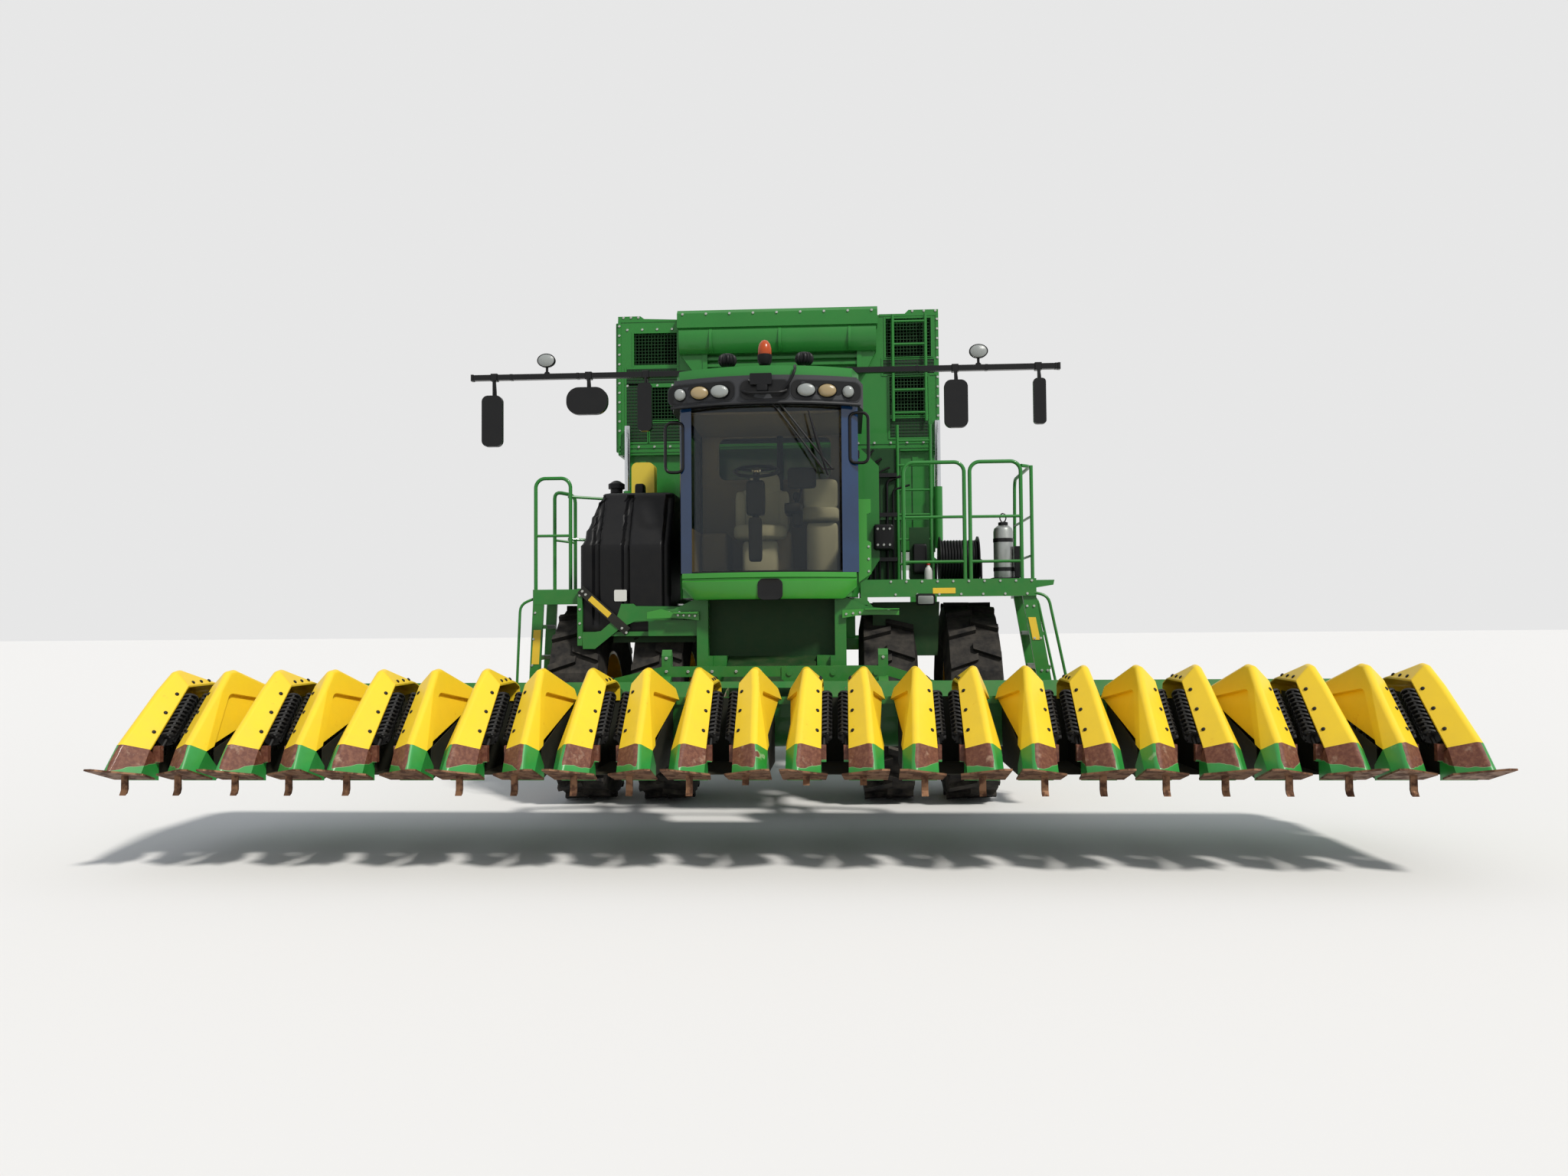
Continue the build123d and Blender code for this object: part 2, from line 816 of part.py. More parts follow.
for side, name in ((1, "left"), (-1, "right")):
    x = machine_x + side * kingpin_x
    wheel_x = machine_x + side * rear_wheel_x
    with BuildPart() as knuckle:
        rod(
            (x, rear_axle_y, rear_axle_z - eye_half - fork_gap - fork_plate),
            (x, rear_axle_y, rear_axle_z + eye_half + fork_gap + fork_plate),
            2 * kingpin_radius,
        )
        for z in (rear_axle_z - eye_half - fork_gap - fork_plate, rear_axle_z + eye_half + fork_gap):
            rod((x, rear_axle_y, z), (x, rear_axle_y, z + fork_plate), 2 * eye_radius)
            beam(
                (min(x, x + side * hub_face), max(x, x + side * hub_face)),
                (rear_axle_y - 50, rear_axle_y + 50),
                (z, z + fork_plate),
            )
        beam(
            (min(x + side * 80, x + side * hub_face), max(x + side * 80, x + side * hub_face)),
            (rear_axle_y - 50, rear_axle_y + 50),
            (rear_axle_z - eye_half - fork_gap - fork_plate, rear_axle_z + eye_half + fork_gap + fork_plate),
        )
        rod(
            (x + side * hub_face, rear_axle_y, rear_axle_z),
            (wheel_x + side * 60, rear_axle_y, rear_axle_z),
            2 * rear_spindle,
        )
    write(knuckle, f"knuckle_{name}")


def lugged_tyre(width, radius, rim_radius, sides, lug):
    """A tyre about its local Z axis: a faceted carcass and two staggered rows of slanted lugs."""
    half = width / 2
    shoulder = 0.85 * half
    tread = radius - lug
    flat = tread * tan(radians(180 / sides))
    with BuildPart() as form:
        for z, apothem in (
            (-0.72 * half, rim_radius + 20),
            (-half, 0.72 * radius),
            (-shoulder, tread),
            (shoulder, tread),
            (half, 0.72 * radius),
            (0.72 * half, rim_radius + 20),
        ):
            with BuildSketch(Plane.XY.offset(z)):
                RegularPolygon(apothem, sides, major_radius=False, rotation=-90 - 180 / sides)
        loft(ruled=True)
        with BuildSketch(Plane.XY.offset(-half)) as bead:
            RegularPolygon(rim_radius, 48, major_radius=False)
        extrude(bead.sketch, amount=width, mode=Mode.SUBTRACT)
        with BuildPart(mode=Mode.PRIVATE) as lugs:
            with BuildSketch(Plane(origin=(0, 5 - tread, 0), x_dir=(1, 0, 0), z_dir=(0, -1, 0))) as feet:
                for start, way in ((-0.5 * flat, 1), (0.2 * flat, -1)):
                    with BuildLine():
                        Polyline(
                            (start - 0.2 * flat, -20 * way),
                            (start + 0.2 * flat, -20 * way),
                            (start + 0.8 * flat, shoulder * way),
                            (start + 0.4 * flat, shoulder * way),
                            close=True,
                        )
                    make_face()
            extrude(feet.sketch, amount=lug + 5)
        with PolarLocations(0, sides):
            add(lugs.part)
    return form.part


def wheel_place(centre):
    """The place that lays a wheel's local Z axis along X, with a flat of the tyre straight below."""
    return Plane(origin=centre, x_dir=(0, 1, 0), z_dir=(1, 0, 0))


front_tyre = lugged_tyre(front_tyre_width, front_tyre_radius, front_rim_radius, 18, 45)
rear_tyre_form = lugged_tyre(rear_tyre_width, rear_tyre_radius, rear_rim_radius, 16, 34)


def rim(centre, width, radius, bore, disc, hub):
    """A rim: a barrel that fills the tyre's bead, a disc and a bored hub."""
    half = width * 0.36
    turned(
        centre,
        [(-half, radius), (half, radius), (half, radius - 25), (disc + 12, radius - 25), (disc + 12, hub[2]),
         (hub[1], hub[2]), (hub[1], bore), (hub[0], bore), (hub[0], hub[2]), (disc, hub[2]),
         (disc, radius - 25), (-half, radius - 25)],
    )


# Front wheels, in pairs on one hub, and rear wheels
for side, name in ((1, "left"), (-1, "right")):
    centres = [machine_x + side * (dual_inner_x + k * dual_spacing) for k in (0, 1)]
    with BuildPart() as front_tyres:
        with Locations(*[wheel_place((x, front_axle_y, axle_z)) for x in centres]):
            add(front_tyre)
    write(front_tyres, f"front_tyres_{name}")
    with BuildPart() as front_rims:
        for x in centres:
            rim(
                (x, front_axle_y, axle_z), front_tyre_width, front_rim_radius,
                front_spindle + pin_gap, -6, (-120, 120, 170),
            )
        low, high = min(centres) + 120, max(centres) - 120
        turned(
            (machine_x, front_axle_y, axle_z),
            [(low - machine_x, front_spindle + pin_gap), (high - machine_x, front_spindle + pin_gap),
             (high - machine_x, 150), (low - machine_x, 150)],
        )
    write(front_rims, f"front_rims_{name}")
    rear_centre = (machine_x + side * rear_wheel_x, rear_axle_y, rear_axle_z)
    with BuildPart() as rear_tyre:
        with Locations(wheel_place(rear_centre)):
            add(rear_tyre_form)
    write(rear_tyre, f"rear_tyre_{name}")
    with BuildPart() as rear_rim:
        rim(rear_centre, rear_tyre_width, rear_rim_radius, rear_spindle + pin_gap, side * 20 - 6, (-70, 70, 90))
    write(rear_rim, f"rear_rim_{name}")

# Lift cylinders beside the header's arms, fixed to the frame and open at the rod's eye
ram_eye_y = behind(2180)
ram_eye_z = 960
ram_barrel = 48
ram_rod = 30
tip_eye = (600, 2320)
with BuildPart() as lift_cylinders:
    for side in (-1, 1):
        low = machine_x + side * (rail_out + 8)
        high = machine_x + side * (rail_out + 60)
        x = (low + high) / 2
        run = Vector(0, ram_eye_y - ram_base_y, ram_eye_z - ram_base_z).normalized()
        base = Vector(x, ram_base_y, ram_base_z)
        rod((low, ram_base_y, ram_base_z), (high, ram_base_y, ram_base_z), 84)
        rod(base, base + run * 620, ram_barrel)
        rod(base + run * 600, (x, ram_eye_y, ram_eye_z), ram_rod)
        rod((low, ram_eye_y, ram_eye_z), (high, ram_eye_y, ram_eye_z), 72)
        rod((low - 1, ram_eye_y, ram_eye_z), (high + 1, ram_eye_y, ram_eye_z), 36, mode=Mode.SUBTRACT)
        rod(
            (low - side, ram_base_y, ram_base_z),
            (high + side, ram_base_y, ram_base_z),
            2 * (ram_pin + pin_gap),
            mode=Mode.SUBTRACT,
        )
    for y in basket_post_y:
        base = Vector(-900, y, 1590)
        run = Vector(tip_eye[0] - base.X, 0, tip_eye[1] - base.Z).normalized()
        rod((base.X, y - 28, base.Z), (base.X, y + 28, base.Z), 110)
        rod(base, base + run * 900, 90)
        rod(base + run * 880, (tip_eye[0], y, tip_eye[1]), 50)
        rod((tip_eye[0], y - 28, tip_eye[1]), (tip_eye[0], y + 28, tip_eye[1]), 90)
        rod((tip_eye[0], y - 40, tip_eye[1]), (tip_eye[0], y + 40, tip_eye[1]), 50, mode=Mode.SUBTRACT)
        beam((base.X - 60, base.X + 60), (y - 28, y + 28), (rail_top + 120 + seat_gap, base.Z))
write(lift_cylinders, "lift_cylinders")

# Engine, its enclosure and the exhaust, under the basket
engine_y = (behind(6000), behind(7500))
engine_top = 2150
engine_half = 340
bay_half = 760
bay_wall = 4

with BuildPart() as engine_block:
    beam((machine_x - engine_half, machine_x + engine_half), engine_y, (rail_top + bay_wall, engine_top))
write(engine_block, "engine_block")

with BuildPart() as engine_enclosure:
    beam(
        (machine_x - bay_half, machine_x + bay_half),
        (engine_y[0] - 150, engine_y[1] + 250),
        (rail_top, engine_top + 80),
    )
    with Locations((machine_x, (engine_y[0] + engine_y[1] + 100) / 2, (rail_top + engine_top + 80) / 2)):
        Box(
            2 * (bay_half - bay_wall),
            engine_y[1] - engine_y[0] + 400 - 2 * bay_wall,
            engine_top + 80 - rail_top - 2 * bay_wall,
            mode=Mode.SUBTRACT,
        )
    for side in (-1, 1):
        x = machine_x + side * bay_half
        for y in (engine_y[0] + 120, engine_y[0] + 820):
            for z in range(1580, 2080, 90):
                beam((x - 20, x + 20), (y, y + 520), (z, z + 34), mode=Mode.SUBTRACT)
write(engine_enclosure, "engine_enclosure")

# Feed chute under the cab and the cleaner with its riser behind the cab
riser_y = (behind(3960), behind(4180))
riser_half = 1000
cleaner_top = 3440

with BuildPart() as feed_chute:
    side_plate(
        (outlet[0] + 3, outlet[1] - 3),
        [
            (behind(2160), 860),
            (behind(2160), 1150),
            (riser_y[0] - seat_gap, 1840),
            (riser_y[0] - seat_gap, 1400),
            (behind(2600), 860),
        ],
    )
write(feed_chute, "feed_chute")

with BuildPart() as field_cleaner:
    front_plate(
        riser_y,
        [
            (machine_x - 420, rail_top),
            (machine_x - riser_half, 2300),
            (machine_x - riser_half, cleaner_top - 200),
            (machine_x - 800, cleaner_top),
            (machine_x + 800, cleaner_top),
            (machine_x + riser_half, cleaner_top - 200),
            (machine_x + riser_half, 2300),
            (machine_x + 420, rail_top),
        ],
    )
write(field_cleaner, "field_cleaner")


def cab_plan(inset, y_rear):
    """The cab's plan: a bowed front between two corners, parallel sides and a flat back."""
    with BuildSketch() as plan:
        with BuildLine():
            front = cab_front + inset
            corner = (cab_corner - inset, cab_front + cab_bow + inset)
            side = (cab_half - inset, cab_front + cab_bow + 240)
            rear = (cab_half - inset, y_rear - inset)
            ThreePointArc((-corner[0], corner[1]), (0, front), corner)
            Polyline(corner, side, rear, (-rear[0], rear[1]), (-side[0], side[1]), (-corner[0], corner[1]))
        make_face()
    return plan.sketch.moved(Location((cab_x, 0, 0)))


def cab_layer(z, inset=0, y_rear=cab_rear, mode=Mode.ADD):
    """A slice of the cab between two heights."""
    extrude(cab_plan(inset, y_rear).moved(Location((0, 0, z[0]))), amount=z[1] - z[0], mode=mode)


# Cab floor with the front sill
with BuildPart() as cab_base:
    cab_layer((sill_bottom, cab_floor))
    with Locations((cab_x, (cab_front + cab_rear) / 2 + 60, sill_bottom + 60)):
        Box(2 * cab_half - 160, cab_rear - cab_front - 420, 120, mode=Mode.SUBTRACT)
write(cab_base, "cab_base")

# Cab frame: hollow, with the windscreen, door and window openings cut
door_y = (cab_front + cab_bow + 260, cab_rear - 360)
door_z = (cab_floor + 8, cab_eave - 12)
window_z = (2560, cab_eave - 90)
door_gap = 8
door_hinge_x = cab_x + cab_half + 20
door_hinge_y = door_y[1] + door_gap / 2
door_hinge_z = (2300, 3300)
door_pin = 7
with BuildPart() as cab_frame:
    cab_layer((cab_floor, cab_eave))
    cab_layer((cab_floor, cab_eave), inset=cab_wall, mode=Mode.SUBTRACT)
    with Locations((cab_x, cab_front + 100, (cab_floor + 20 + cab_eave - 20) / 2)):
        Box(2 * cab_corner - 40, 400, cab_eave - cab_floor - 40, mode=Mode.SUBTRACT)
    with Locations((cab_x + cab_half, (door_y[0] + door_y[1]) / 2, (door_z[0] + door_z[1]) / 2)):
        Box(4 * cab_wall, door_y[1] - door_y[0] + 2 * door_gap, door_z[1] - door_z[0] + 2 * door_gap, mode=Mode.SUBTRACT)
    with Locations((cab_x - cab_half, (cab_front + cab_bow + 300 + cab_rear - 160) / 2, sum(window_z) / 2)):
        Box(4 * cab_wall, cab_rear - cab_front - cab_bow - 460, window_z[1] - window_z[0], mode=Mode.SUBTRACT)
    with Locations((cab_x, cab_rear, sum(window_z) / 2)):
        Box(2 * cab_half - 320, 4 * cab_wall, window_z[1] - window_z[0], mode=Mode.SUBTRACT)
    for z in door_hinge_z:
        for low in (z - 37, z + 27):
            rod((door_hinge_x, door_hinge_y, low), (door_hinge_x, door_hinge_y, low + 10), 26)
            beam((cab_x + cab_half, door_hinge_x + 12), (door_hinge_y + 1, door_hinge_y + 60), (low, low + 10))
        rod((door_hinge_x, door_hinge_y, z - 30), (door_hinge_x, door_hinge_y, z + 30), 2 * door_pin)
write(cab_frame, "cab_frame")

# Cab roof: a lamp visor all round, with a pocket for each lamp, and a cap
lamp_table = ((760, 90), (600, 150), (430, 150))
lamp_z = (cab_eave + 60, cab_eave + 170)
lamp_corner = 40


def roof_lamps():
    """Centre x, front y and width of each lamp in the visor."""
    for side in (-1, 1):
        for offset, width in lamp_table:
            outer = offset + width / 2
            yield cab_x + side * offset, cab_front - 60 + cab_bow * (outer / (cab_corner + 60)) ** 2, width


with BuildPart() as cab_roof:
    cab_layer((cab_eave, cab_eave + 230), inset=-60, y_rear=cab_rear)
    cab_layer((cab_eave + 230, cab_eave + 320), inset=-20, y_rear=cab_rear - 100)
    for x, y, width in roof_lamps():
        rounded_plate(
            (x - width / 2 - seat_gap, x + width / 2 + seat_gap),
            (y - 40, y + 40),
            (lamp_z[0] - seat_gap, lamp_z[1] + seat_gap),
            lamp_corner + seat_gap,
            mode=Mode.SUBTRACT,
        )
write(cab_roof, "cab_roof")

# Cab glass: the bowed windscreen, the right side window and the rear window
with BuildPart() as cab_glass:
    cab_layer((cab_floor + 20 + seat_gap, cab_eave - 20 - seat_gap), inset=14)
    cab_layer((cab_floor, cab_eave), inset=14 + glass_thickness, mode=Mode.SUBTRACT)
    with Locations((cab_x, cab_front + 100, (cab_floor + cab_eave) / 2)):
        Box(2 * cab_corner - 40 - 2 * seat_gap, 400, cab_eave - cab_floor, mode=Mode.INTERSECT)
    y = (cab_front + cab_bow + 300 + cab_rear - 160) / 2
    with Locations((cab_x - cab_half + 18, y, sum(window_z) / 2)):
        Box(glass_thickness, cab_rear - cab_front - cab_bow - 460 - 2 * seat_gap, window_z[1] - window_z[0] - 2 * seat_gap)
    with Locations((cab_x, cab_rear - 18, sum(window_z) / 2)):
        Box(2 * cab_half - 320 - 2 * seat_gap, glass_thickness, window_z[1] - window_z[0] - 2 * seat_gap)
write(cab_glass, "cab_glass")

# Cab door in the left side, hinged at its rear edge, with its glass
with BuildPart() as cab_door:
    x = (cab_x + cab_half - cab_wall, cab_x + cab_half)
    beam(x, door_y, door_z)
    with Locations((cab_x + cab_half, sum(door_y) / 2, sum(window_z) / 2 + 20)):
        Box(4 * cab_wall, door_y[1] - door_y[0] - 160, window_z[1] - window_z[0], mode=Mode.SUBTRACT)
    for z in door_hinge_z:
        rod((door_hinge_x, door_hinge_y, z - 22), (door_hinge_x, door_hinge_y, z + 22), 28)
        beam((cab_x + cab_half - 1, door_hinge_x), (door_hinge_y - 70, door_hinge_y - 8), (z - 22, z + 22))
        rod((door_hinge_x, door_hinge_y, z - 40), (door_hinge_x, door_hinge_y, z + 40), 2 * (door_pin + pin_gap), mode=Mode.SUBTRACT)
write(cab_door, "cab_door")

with BuildPart() as cab_door_glass:
    with Locations((cab_x + cab_half - cab_wall / 2, sum(door_y) / 2, sum(window_z) / 2 + 20)):
        Box(glass_thickness, door_y[1] - door_y[0] - 160 - 2 * seat_gap, window_z[1] - window_z[0] - 2 * seat_gap)
write(cab_door_glass, "cab_door_glass")

# Seats, steering column and console
seat_x = -330
trainer_x = 130
with BuildPart() as cab_seats:
    for x, y, width in ((seat_x, behind(3150), 480), (trainer_x, behind(3250), 380)):
        beam((x - 130, x + 130), (y, y + 300), (cab_floor + seat_gap, 2420))
        beam((x - width / 2, x + width / 2), (y - 100, y + 400), (2420, 2540))
        beam((x - width / 2, x + width / 2), (y + 320, y + 430), (2540, 3120))
write(cab_seats, "cab_seats")

with BuildPart() as steering_console:
    beam((seat_x - 110, seat_x + 110), (behind(2680), behind(2860)), (cab_floor + seat_gap, 2340))
    rod((seat_x, behind(2780), 2300), (seat_x, behind(2900), 2860), 60)
    with BuildSketch(Plane(origin=(seat_x, behind(2900), 2860), z_dir=(0, -0.35, 1))) as wheel:
        Circle(205)
    extrude(wheel.sketch, amount=25)
write(steering_console, "steering_console")

# Work lamps in the visor, on the mirror bar and under the left platform
bar_y = behind(2800)
bar_z = 3950
bar_x = (-2970, 2390)
with BuildPart() as work_lamps:
    for x, y, width in roof_lamps():
        rounded_plate((x - width / 2, x + width / 2), (y - 10, y + 40 - seat_gap), lamp_z, lamp_corner)
    for x in (-2270, 1670):
        beam((x - 80, x + 80), (bar_y - 60, bar_y + 20), (bar_z + 90, bar_z + 200))
        beam((x - 15, x + 15), (bar_y - 15, bar_y + 15), (bar_z + 25, bar_z + 90))
write(work_lamps, "work_lamps")

with BuildPart() as beacon:
    rod((-310, behind(2900), 3890), (-310, behind(2900), 4090), 60)
    rod((-310, behind(2900), 4090), (-310, behind(2900), 4280), 130)
write(beacon, "beacon")

# Mirror bar across the roof and the five mirrors that hang from it
mirror_table = ((-2760, 3300, 3770, 190), (-1880, 3580, 3830, 380), (-1350, 3420, 3860, 130),
                (1460, 3400, 3830, 210), (2200, 3420, 3830, 110))
with BuildPart() as mirror_bar:
    beam(bar_x, (bar_y - 25, bar_y + 25), (bar_z - 25, bar_z + 25))
    for x in (cab_x - 500, cab_x + 500):
        beam((x - 30, x + 30), (bar_y - 25, bar_y + 25), (cab_eave + 320, bar_z))
    for x, low, high, width in mirror_table:
        beam((x - 10, x + 10), (bar_y - 35, bar_y - 15), (low + 60, bar_z))
        rounded_plate((x - width / 2, x + width / 2), (bar_y - 85, bar_y - 35), (low, high), 0.3 * width)
write(mirror_bar, "mirror_bar")

# Fuel tank over the right front wheels, its cradle and the small tank behind it
tank_x = (-1950, -1120)
tank_front = behind(2700)
tank_rear = behind(3770)
arch_radius = front_tyre_radius + 60

with BuildPart() as fuel_tank:
    side_plate(
        tank_x,
        [
            (tank_front, 1600 + seat_gap),
            (behind(2815), 1600 + seat_gap),
            (behind(2825), 1660),
            (behind(3070), 1820),
            (behind(3370), 1915),
            (tank_rear, 1915),
            (tank_rear, 2900),
            (behind(2980), 2900),
            (tank_front, 2390),
        ],
    )
    fillet(fuel_tank.edges().filter_by(Axis.X).filter_by(lambda edge: edge.center().Z > 2300), 70)
    for i in range(6):
        x = tank_x[0] + 100 + i * 120
        beam((x, x + 26), (tank_front - 5, tank_front + 12), (1700, 2300), mode=Mode.SUBTRACT)
    for i in range(6):
        y = behind(2830) + i * 150
        beam((tank_x[0] - 5, tank_x[0] + 12), (y, y + 26), (1960, 2330 + 60 * i), mode=Mode.SUBTRACT)
    rod((-1780, behind(3150), 2890), (-1780, behind(3150), 2980), 160)
write(fuel_tank, "fuel_tank")

with BuildPart() as tank_cradle:
    front_plate(
        (tank_front - 30, tank_front - 10),
        [(-1870, 1500), (-1590, 1740), (-1540, 1840), (-1500, 1760), (tank_x[1], 1760), (tank_x[1], 1700),
         (-1560, 1680), (-1830, 1450)],
    )
    beam((-1930, cab_post_x[0] - 50 - seat_gap), (tank_front - 10, behind(2810)), (1560, 1600))
    beam((-1300, cab_post_x[0] - 50), (cab_post_y - 10, cab_post_y + 40), (1560, 1700))
    beam((-1900, machine_x - 700), (behind(3900), riser_y[0] - seat_gap), (1862, 1915 - seat_gap))
    for x in (-1900, -1200):
        beam((x, x + 60), (behind(3390), behind(3950)), (1862, 1915 - seat_gap))
write(tank_cradle, "tank_cradle")

with BuildPart() as additive_tank:
    rounded_plate((-1680, -1450), (behind(3780), behind(3940)), (2900, 3290), 60)
    beam((-1680, -1450), (behind(3780), behind(3940)), (1915, 2960))
write(additive_tank, "additive_tank")

# Left platform: deck, rails, outer ladder; +X is the operator's left
deck_y = (behind(2700), cab_rear)
deck_x = (cab_x + cab_half + 20, 2140)
deck_z = 2000
rail_size = 34

with BuildPart() as platform_left:
    beam(deck_x, deck_y, (deck_z - 8, deck_z))
    beam((900, 1440), (cab_rear - 10, behind(4060)), (deck_z - 8, deck_z))
    beam(deck_x, (deck_y[0], deck_y[0] + 50), (1890, 2045))
    beam((deck_x[1] - 50, deck_x[1]), deck_y, (1890, 2045))
    beam((deck_x[0], deck_x[0] + 50), deck_y, (1890, deck_z))
    y = deck_y[0] + 25
    for low, high in ((980, 1520), (1570, 2020)):
        rail([(low, y, deck_z), (low, y, 3090), (high, y, 3090), (high, y, deck_z)], rail_size, 90)
        for z in (2600, 2200):
            rod((low, y, z), (high, y, z), rail_size - 8)
    for y in (deck_y[0] + 40, deck_y[0] + 560):
        front_plate(
            (y - 15, y + 15),
            [(2020, 1900), (2140, 1900), (2360, 560), (2240, 560)],
        )
    for i in range(4):
        z = 640 + i * 300
        x = 2250 + (640 - z) * 0.164
        beam((x - 20, x + 110), (deck_y[0] + 40, deck_y[0] + 560), (z, z + 30))
    beam((cab_post_x[1] + 50, deck_x[0] + 60), (cab_post_y + 10, cab_post_y + 50), (1820, 1880))
    beam((deck_x[0], deck_x[0] + 60), (cab_post_y + 10, deck_y[0] + 60), (1820, 1900))
write(platform_left, "platform_left")

# Right platform beside the tank
right_deck_x = (-2460, -2050)
right_deck_y = (behind(3000), behind(3900))
with BuildPart() as platform_right:
    beam(right_deck_x, right_deck_y, (1982, 1990))
    beam(right_deck_x, (right_deck_y[0], right_deck_y[0] + 40), (1870, 1990))
    beam((right_deck_x[0], right_deck_x[0] + 30), right_deck_y, (1900, 1990))
    y = right_deck_y[0] + 25
    rail([(right_deck_x[0] + 20, y, 1990), (right_deck_x[0] + 20, y, 3040), (right_deck_x[1] - 60, y, 3040),
          (right_deck_x[1] - 60, y, 1990)], rail_size, 90)
    rod((right_deck_x[0] + 20, y, 2500), (right_deck_x[1] - 60, y, 2500), rail_size - 8)
    for y in (right_deck_y[0] + 20, right_deck_y[0] + 500):
        front_plate(
            (y - 15, y + 15),
            [(-2460, 1900), (-2360, 1900), (-2420, 700), (-2520, 700)],
        )
    for i in range(4):
        z = 760 + i * 290
        x = -2505 + (z - 760) * 0.05
        beam((x, x + 90), (right_deck_y[0] + 20, right_deck_y[0] + 500), (z, z + 30))
    beam((-2060, tank_x[0] - seat_gap), (behind(3010), behind(3060)), (1920, 1985))
write(platform_right, "platform_right")

# Ladder from the left platform up beside the riser
with BuildPart() as access_ladder:
    for x in (990, 1320):
        rod((x, behind(4000), deck_z + seat_gap), (x, behind(4000), 3660), 32)
    for i in range(6):
        rod((990, behind(4000), 2250 + i * 250), (1320, behind(4000), 2250 + i * 250), 24)
    beam((machine_x + riser_half + seat_gap, 1340), (behind(4000), behind(4060)), (2700, 2740))
write(access_ladder, "access_ladder")

# Hose reel and water cylinder on the left platform
with BuildPart() as deck_equipment:
    turned((1560, behind(3720), 2270), [(-110, 0), (-110, 230), (-95, 230), (-95, 120), (95, 120), (95, 230), (110, 230), (110, 0)])
    beam((1500, 1620), (behind(3700), behind(3740)), (deck_z + seat_gap, 2160))
    rod((1970, behind(3200), deck_z + seat_gap), (1970, behind(3200), 2600), 180)
write(deck_equipment, "deck_equipment")

# Basket: the lower box that tips, and the telescoping top over it
lower_x = (basket_left + basket_nest, basket_right - basket_nest)
lower_y = (basket_front + basket_nest, basket_front + basket_length - basket_nest)
lower_top = 3560
lift_ram_x = (basket_left + 110, basket_right - 30)
lift_ram_y = basket_front - 60
lift_ram_radius = 32
lift_stroke = 600
lift_barrel = (2430, 3070)
lift_rod = (lift_barrel[0] + lift_stroke + 10, 3760)

with BuildPart() as basket_lower:
    beam(lower_x, lower_y, (basket_floor, lower_top))
    with Locations((sum(lower_x) / 2, sum(lower_y) / 2, (basket_floor + basket_wall + lower_top) / 2)):
        Box(
            lower_x[1] - lower_x[0] - 2 * basket_wall,
            lower_y[1] - lower_y[0] - 2 * basket_wall,
            lower_top - basket_floor - basket_wall,
            mode=Mode.SUBTRACT,
        )
    for y in basket_post_y:
        for dy in (-post_size / 2 - 50, post_size / 2 + 10):
            rod(
                (hinge_centre_x, y + dy, basket_hinge_z),
                (hinge_centre_x, y + dy + 40, basket_hinge_z),
                110,
            )
            beam((hinge_centre_x - 55, hinge_centre_x + 20), (y + dy, y + dy + 40), (basket_hinge_z, basket_floor + 10))
        rod(
            (hinge_centre_x, y - 200, basket_hinge_z),
            (hinge_centre_x, y + 200, basket_hinge_z),
            2 * (basket_pin_radius + pin_gap),
            mode=Mode.SUBTRACT,
        )
        for dy in (-28 - running_gap - 16, 28 + running_gap):
            front_plate(
                (y + dy, y + dy + 16),
                [(tip_eye[0] - 90, basket_floor + 5), (tip_eye[0] - 40, tip_eye[1] - 40),
                 (tip_eye[0] + 40, tip_eye[1] - 40), (tip_eye[0] + 90, basket_floor + 5)],
            )
    for x in lift_ram_x:
        rod((x, lift_ram_y, lift_barrel[0]), (x, lift_ram_y, lift_barrel[1]), 2 * lift_ram_radius + 28)
        beam((x - 30, x + 30), (lift_ram_y, lower_y[0] + 5), (lift_barrel[0] + 10, lift_barrel[0] + 110))
        rod(
            (x, lift_ram_y, lift_barrel[0] + 5),
            (x, lift_ram_y, lift_barrel[1] + 5),
            2 * (lift_ram_radius + pin_gap),
            mode=Mode.SUBTRACT,
        )
write(basket_lower, "basket_lower")

with BuildPart() as basket_rods:
    for x in lift_ram_x:
        rod((x, lift_ram_y, lift_rod[0]), (x, lift_ram_y, lift_rod[1]), 2 * lift_ram_radius)
        beam((x - 28, x + 28), (lift_ram_y, basket_front - seat_gap), (lift_rod[1] - 50, lift_rod[1]))
write(basket_rods, "basket_rods")

# The top with its discharge hood, front windows and upper ladder
hood_x = (-1280, 810)
hood_band = (4760, 4950)
hood_foot = 4500
hood_ribs = (-929, -205, 520)
slat_ends = (-1000, 620)
# Windows in the front wall, as their x and z ranges
basket_windows = (
    ((-1770, -1310), (4420, 4760)),
    ((-1600, -1270), (3830, 4180)),
    ((900, 1370), (4450, 4855)),
    ((935, 1335), (3833, 4238)),
)
dump_y = (basket_front + 220, basket_front + basket_length - 220)
dump_z = (basket_split + 120, basket_top_z - 90)
dump_hinge_x = basket_right + 20
dump_hinge_z = dump_z[1] + 30
dump_hinge_y = [dump_y[0] + k * (dump_y[1] - dump_y[0]) / 6 for k in (1, 3, 5)]
dump_pin = 8


def discharge_chute(x, proud):
    """The curved front of the discharge hood between two x values, standing proud by an amount."""
    with BuildSketch(Plane.YZ.offset(x[0])) as profile:
        with BuildLine():
            Polyline(
                (basket_front - 120 - proud, hood_foot),
                (basket_front + 1, hood_foot),
                (basket_front + 1, hood_band[0] + 1),
                (basket_front - 165, hood_band[0] + 1),
            )
            ThreePointArc(
                (basket_front - 165, hood_band[0] + 1),
                (basket_front - 180 - proud, 4640),
                (basket_front - 120 - proud, hood_foot),
            )
        make_face()
    extrude(profile.sketch, amount=x[1] - x[0])


